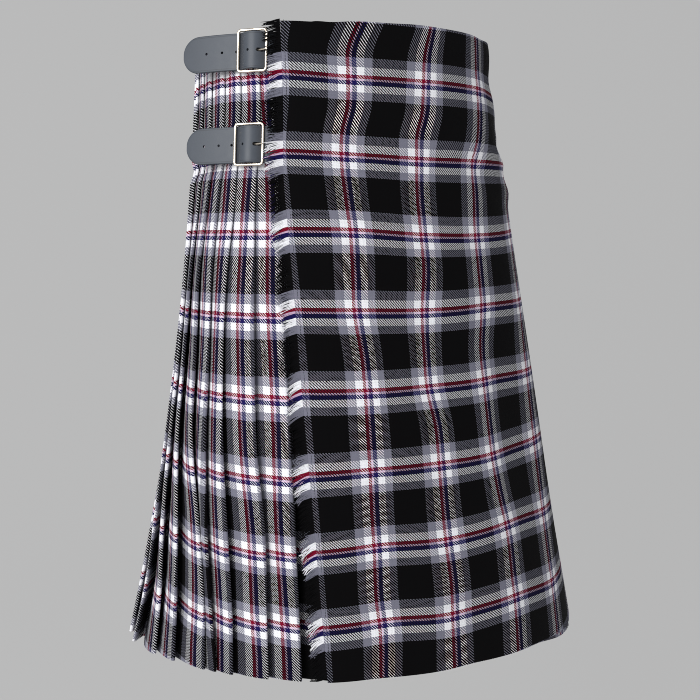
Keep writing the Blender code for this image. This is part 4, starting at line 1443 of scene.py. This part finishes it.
def hook(thick, angles, steps):
    """Part of a turn round the centre bar, a hair off it, between two angles in degrees."""
    radius = BAR_RADIUS + SEAM_GAP + thick / 2
    return [
        (radius * math.cos(turn), 0.0, BAR_OUT + radius * math.sin(turn))
        for turn in np.radians(np.linspace(*angles, steps))
    ]


def prong_line():
    """From its hook round the bar, the prong climbs onto the frame."""
    rest = FRAME_OUT + FRAME_THICK / 2 + SEAM_GAP + PRONG_THICK / 2
    return hook(PRONG_THICK, PRONG_HOOK, HOOK_STEPS) + [
        (PRONG_FROM + (PRONG_TIP - PRONG_FROM) * share, 0.0, rest - PRONG_CLIMB * (1 - share) ** CLIMB_POWER)
        for share in np.linspace(0, 1, REACH_STEPS)
    ]


print("frame", FRAME_LENGTH, "by", FRAME_HEIGHT, "mm")

# %% [markdown]
# ## The nickel
#
# Nickel plate is a warm white metal. It is polished, but handling leaves it brighter in some places than in
# others, so the tarnish should change both its colour and its roughness. An even grey metal would look like
# plastic. One slow noise drives the two together, and a very fine one breaks up the highlights.

# %% Polished nickel
nickel, tree, shader = new_material("polished_nickel", roughness=0.2)
shader.inputs["Metallic"].default_value = 1.0
tarnish = noise(tree, on_piece(tree), scale=160.0, detail=4.0)
paint(tree, shader, blend(tree, tarnish, (0.84, 0.76, 0.64, 1), (0.66, 0.58, 0.47, 1)))
feed(tree, shader.inputs["Roughness"], spread(tree, tarnish, 0.14, 0.30))
bump(tree, shader, noise(tree, on_piece(tree), scale=3000.0, detail=1.0), distance=0.00004, strength=0.15)
print("nickel:", len(tree.nodes), "nodes")

# %% Set the buckles and the prongs
for strap in STRAPS:
    pieces = [
        ring_tube(frame_line(), FRAME_BAR / 2, FRAME_THICK / 2, FRAME_SIDES),
        tube(bar_line(), [BAR_RADIUS] * BAR_RINGS, BAR_SIDES),
    ]
    put(f"buckle_{strap.name}_nickel", pieces, nickel, strap, f"buckle_{strap.name}")
    wide = np.concatenate([
        np.full(HOOK_STEPS, PRONG_WIDTH / 2),
        np.linspace(PRONG_WIDTH / 2, PRONG_POINT / 2, REACH_STEPS),
    ])
    prong = [flat_tube(prong_line(), wide, PRONG_THICK / 2)]
    put(f"prong_{strap.name}_nickel", prong, nickel, strap, f"prong_{strap.name}")
    print("buckle", strap.name, "placed")

# %% [markdown]
# ## The tabs
#
# What holds a buckle to the kilt is a narrow leather tab. It is sewn to the pleats, loops round the centre
# bar, and is split there to let the prong through. A flat strip would leave the bar hanging in the air. So
# the tab is a line seen from its edge, with the loop in it, drawn out into three strips: one on each side
# of the prong, and one behind it that stops short of the bar.

# %% The tab's line and strips
TAB_THICK, TAB_WIDTH, TAB_SLOT, TAB_STEPS = 0.9, 30.0, 5.0, 5
# Distances from the centre bar along the sewn part. Then the tab leaves the cloth, loops and comes back.
TAB_AT = (32.0, 27.0, 22.0, 18.0, 14.0)
TAB_LIFT = 0.25
BEFORE_LOOP, AFTER_LOOP = (6.0, 0.6), [(4.6, 4.3), (7.6, 2.4)]
TAB_LOOP, LOOP_STEPS = (-70, -291), 16


def cloth_below(strap, along):
    """How far out the garment's surface lies, in the buckle's own frame."""
    around = strap.bar_round + strap.heading * along
    at = SEATS[strap.name].inverted() @ Vector(place(strap.down, [around], [0])[0])
    return at.z / MM


def tab_line(strap):
    """The middle of the tab, from its sewn end to the loop and back."""
    low = SEAM_GAP + TAB_THICK / 2
    tail = [(at, low + TAB_LIFT + cloth_below(strap, at)) for at in TAB_AT]
    loop = [(x, z) for x, _, z in hook(TAB_THICK, TAB_LOOP, LOOP_STEPS)]
    return np.array(tail + [(BEFORE_LOOP[0], low + BEFORE_LOOP[1])] + loop + AFTER_LOOP)


def tab_pieces(strap):
    """Three strips of leather along the tab's line."""
    line, half, slot = tab_line(strap), TAB_WIDTH / 2, TAB_SLOT / 2
    both = [sideways(line, side * TAB_THICK / 2) for side in (1, -1)]
    for low, high, end in ((-half, -slot, len(line)), (slot, half, len(line)), (-slot, slot, len(TAB_AT))):
        ys = np.linspace(low, high, TAB_STEPS)
        grids = [np.array([[(x, y, z) for x, z in side[:end]] for y in ys]) for side in both]
        faces, _, _ = shell_faces(*grids[0].shape[:2])
        yield np.vstack([g.reshape(-1, 3) for g in grids]), [tuple(f) for f in faces], []


tab_leather, tree, shader = new_material("tab_leather", roughness=0.55, specular=0.4)
skin = use_group(tree, grain, Vector=on_piece(tree), Edge=0.25)
paint(tree, shader, skin["Colour"])
bump(tree, shader, skin["Height"], distance=0.0001, strength=0.3)
for strap in STRAPS:
    name = f"tab_{strap.name}"
    put(f"{name}_leather", tab_pieces(strap), tab_leather, strap, name)
print("tabs made")

# %% [markdown]
# ## Light
#
# A studio lights cloth softly, so that folds read by gentle shading and never by hard shadows. One wide
# light stands to the left of the camera, a weak one fills from its right, and the surroundings give an even
# grey. A sun lamp would be simpler, but its hard shadows would draw every pleat twice.

# %% Light
scene = bpy.context.scene
scene.view_settings.view_transform = "Standard"
# The twill's lines are only a few pixels apart, and these two settings keep them from being smoothed away.
scene.cycles.denoising_prefilter = "NONE"
scene.cycles.filter_width = 1.0
world = bpy.data.worlds.new("studio")
world.use_nodes = True
surroundings = world.node_tree.nodes["Background"].inputs
surroundings["Color"].default_value = (0.86, 0.87, 0.90, 1)
surroundings["Strength"].default_value = 0.46
scene.world = world
MIDDLE = Vector((0.0, 0.0, -0.30))


def area_light(name, stands, size, watts):
    """A square light that faces the middle of the kilt."""
    data = bpy.data.lights.new(name, "AREA")
    data.shape, data.size, data.size_y, data.energy = "RECTANGLE", size, size, watts
    made = bpy.data.objects.new(name, data)
    made.location = stands
    made.rotation_euler = (MIDDLE - Vector(stands)).to_track_quat("-Z", "Y").to_euler()
    scene.collection.objects.link(made)


area_light("key", (-2.15, -1.28, 0.60), size=1.5, watts=56.5)
area_light("fill", (0.7, -2.4, 0.2), size=1.6, watts=6.0)
print("lights set")

# %% [markdown]
# ## The floor
#
# The kilt hangs in front of a pale paper backdrop, as in a studio: one sheet that runs forward as the floor
# and curves up behind, so that no line crosses the picture. A plane and a wall would meet in a corner. The
# paper glows a little by itself, which keeps it the same even grey wherever the lights fall.

# %% The floor
FLOOR, FLOOR_FRONT, FLOOR_BACK = -1.15, -4.0, 1.6
SWEEP, SWEEP_STEPS = 1.2, 13
BACKDROP_TOP, BACKDROP_HALF = 3.5, 5.0
PAPER_GLOW = 0.415

profile = [(FLOOR_FRONT, FLOOR), (FLOOR_BACK, FLOOR)]
for turn in np.linspace(0, math.pi / 2, SWEEP_STEPS)[1:]:
    profile.append((FLOOR_BACK + SWEEP * math.sin(turn), FLOOR + SWEEP * (1 - math.cos(turn))))
profile.append((FLOOR_BACK + SWEEP, BACKDROP_TOP))
points = [(x, y, z) for y, z in profile for x in (-BACKDROP_HALF, BACKDROP_HALF)]
faces = [(2 * i, 2 * i + 1, 2 * i + 3, 2 * i + 2) for i in range(len(profile) - 1)]
paper, tree, shader = new_material("pale_paper", roughness=0.95, specular=0.0)
speck = noise(tree, on_piece(tree), scale=4.0, detail=1.0)
paint(tree, shader, blend(tree, speck, (0.118, 0.118, 0.118, 1), (0.122, 0.122, 0.122, 1)))
shader.inputs["Emission Color"].default_value = (PAPER_GLOW, PAPER_GLOW, PAPER_GLOW, 1)
shader.inputs["Emission Strength"].default_value = 1.0
floor = plain_piece("floor", points, faces)
floor.data.materials.append(paper)
floor.data.shade_smooth()
print("floor at", FLOOR, "m")
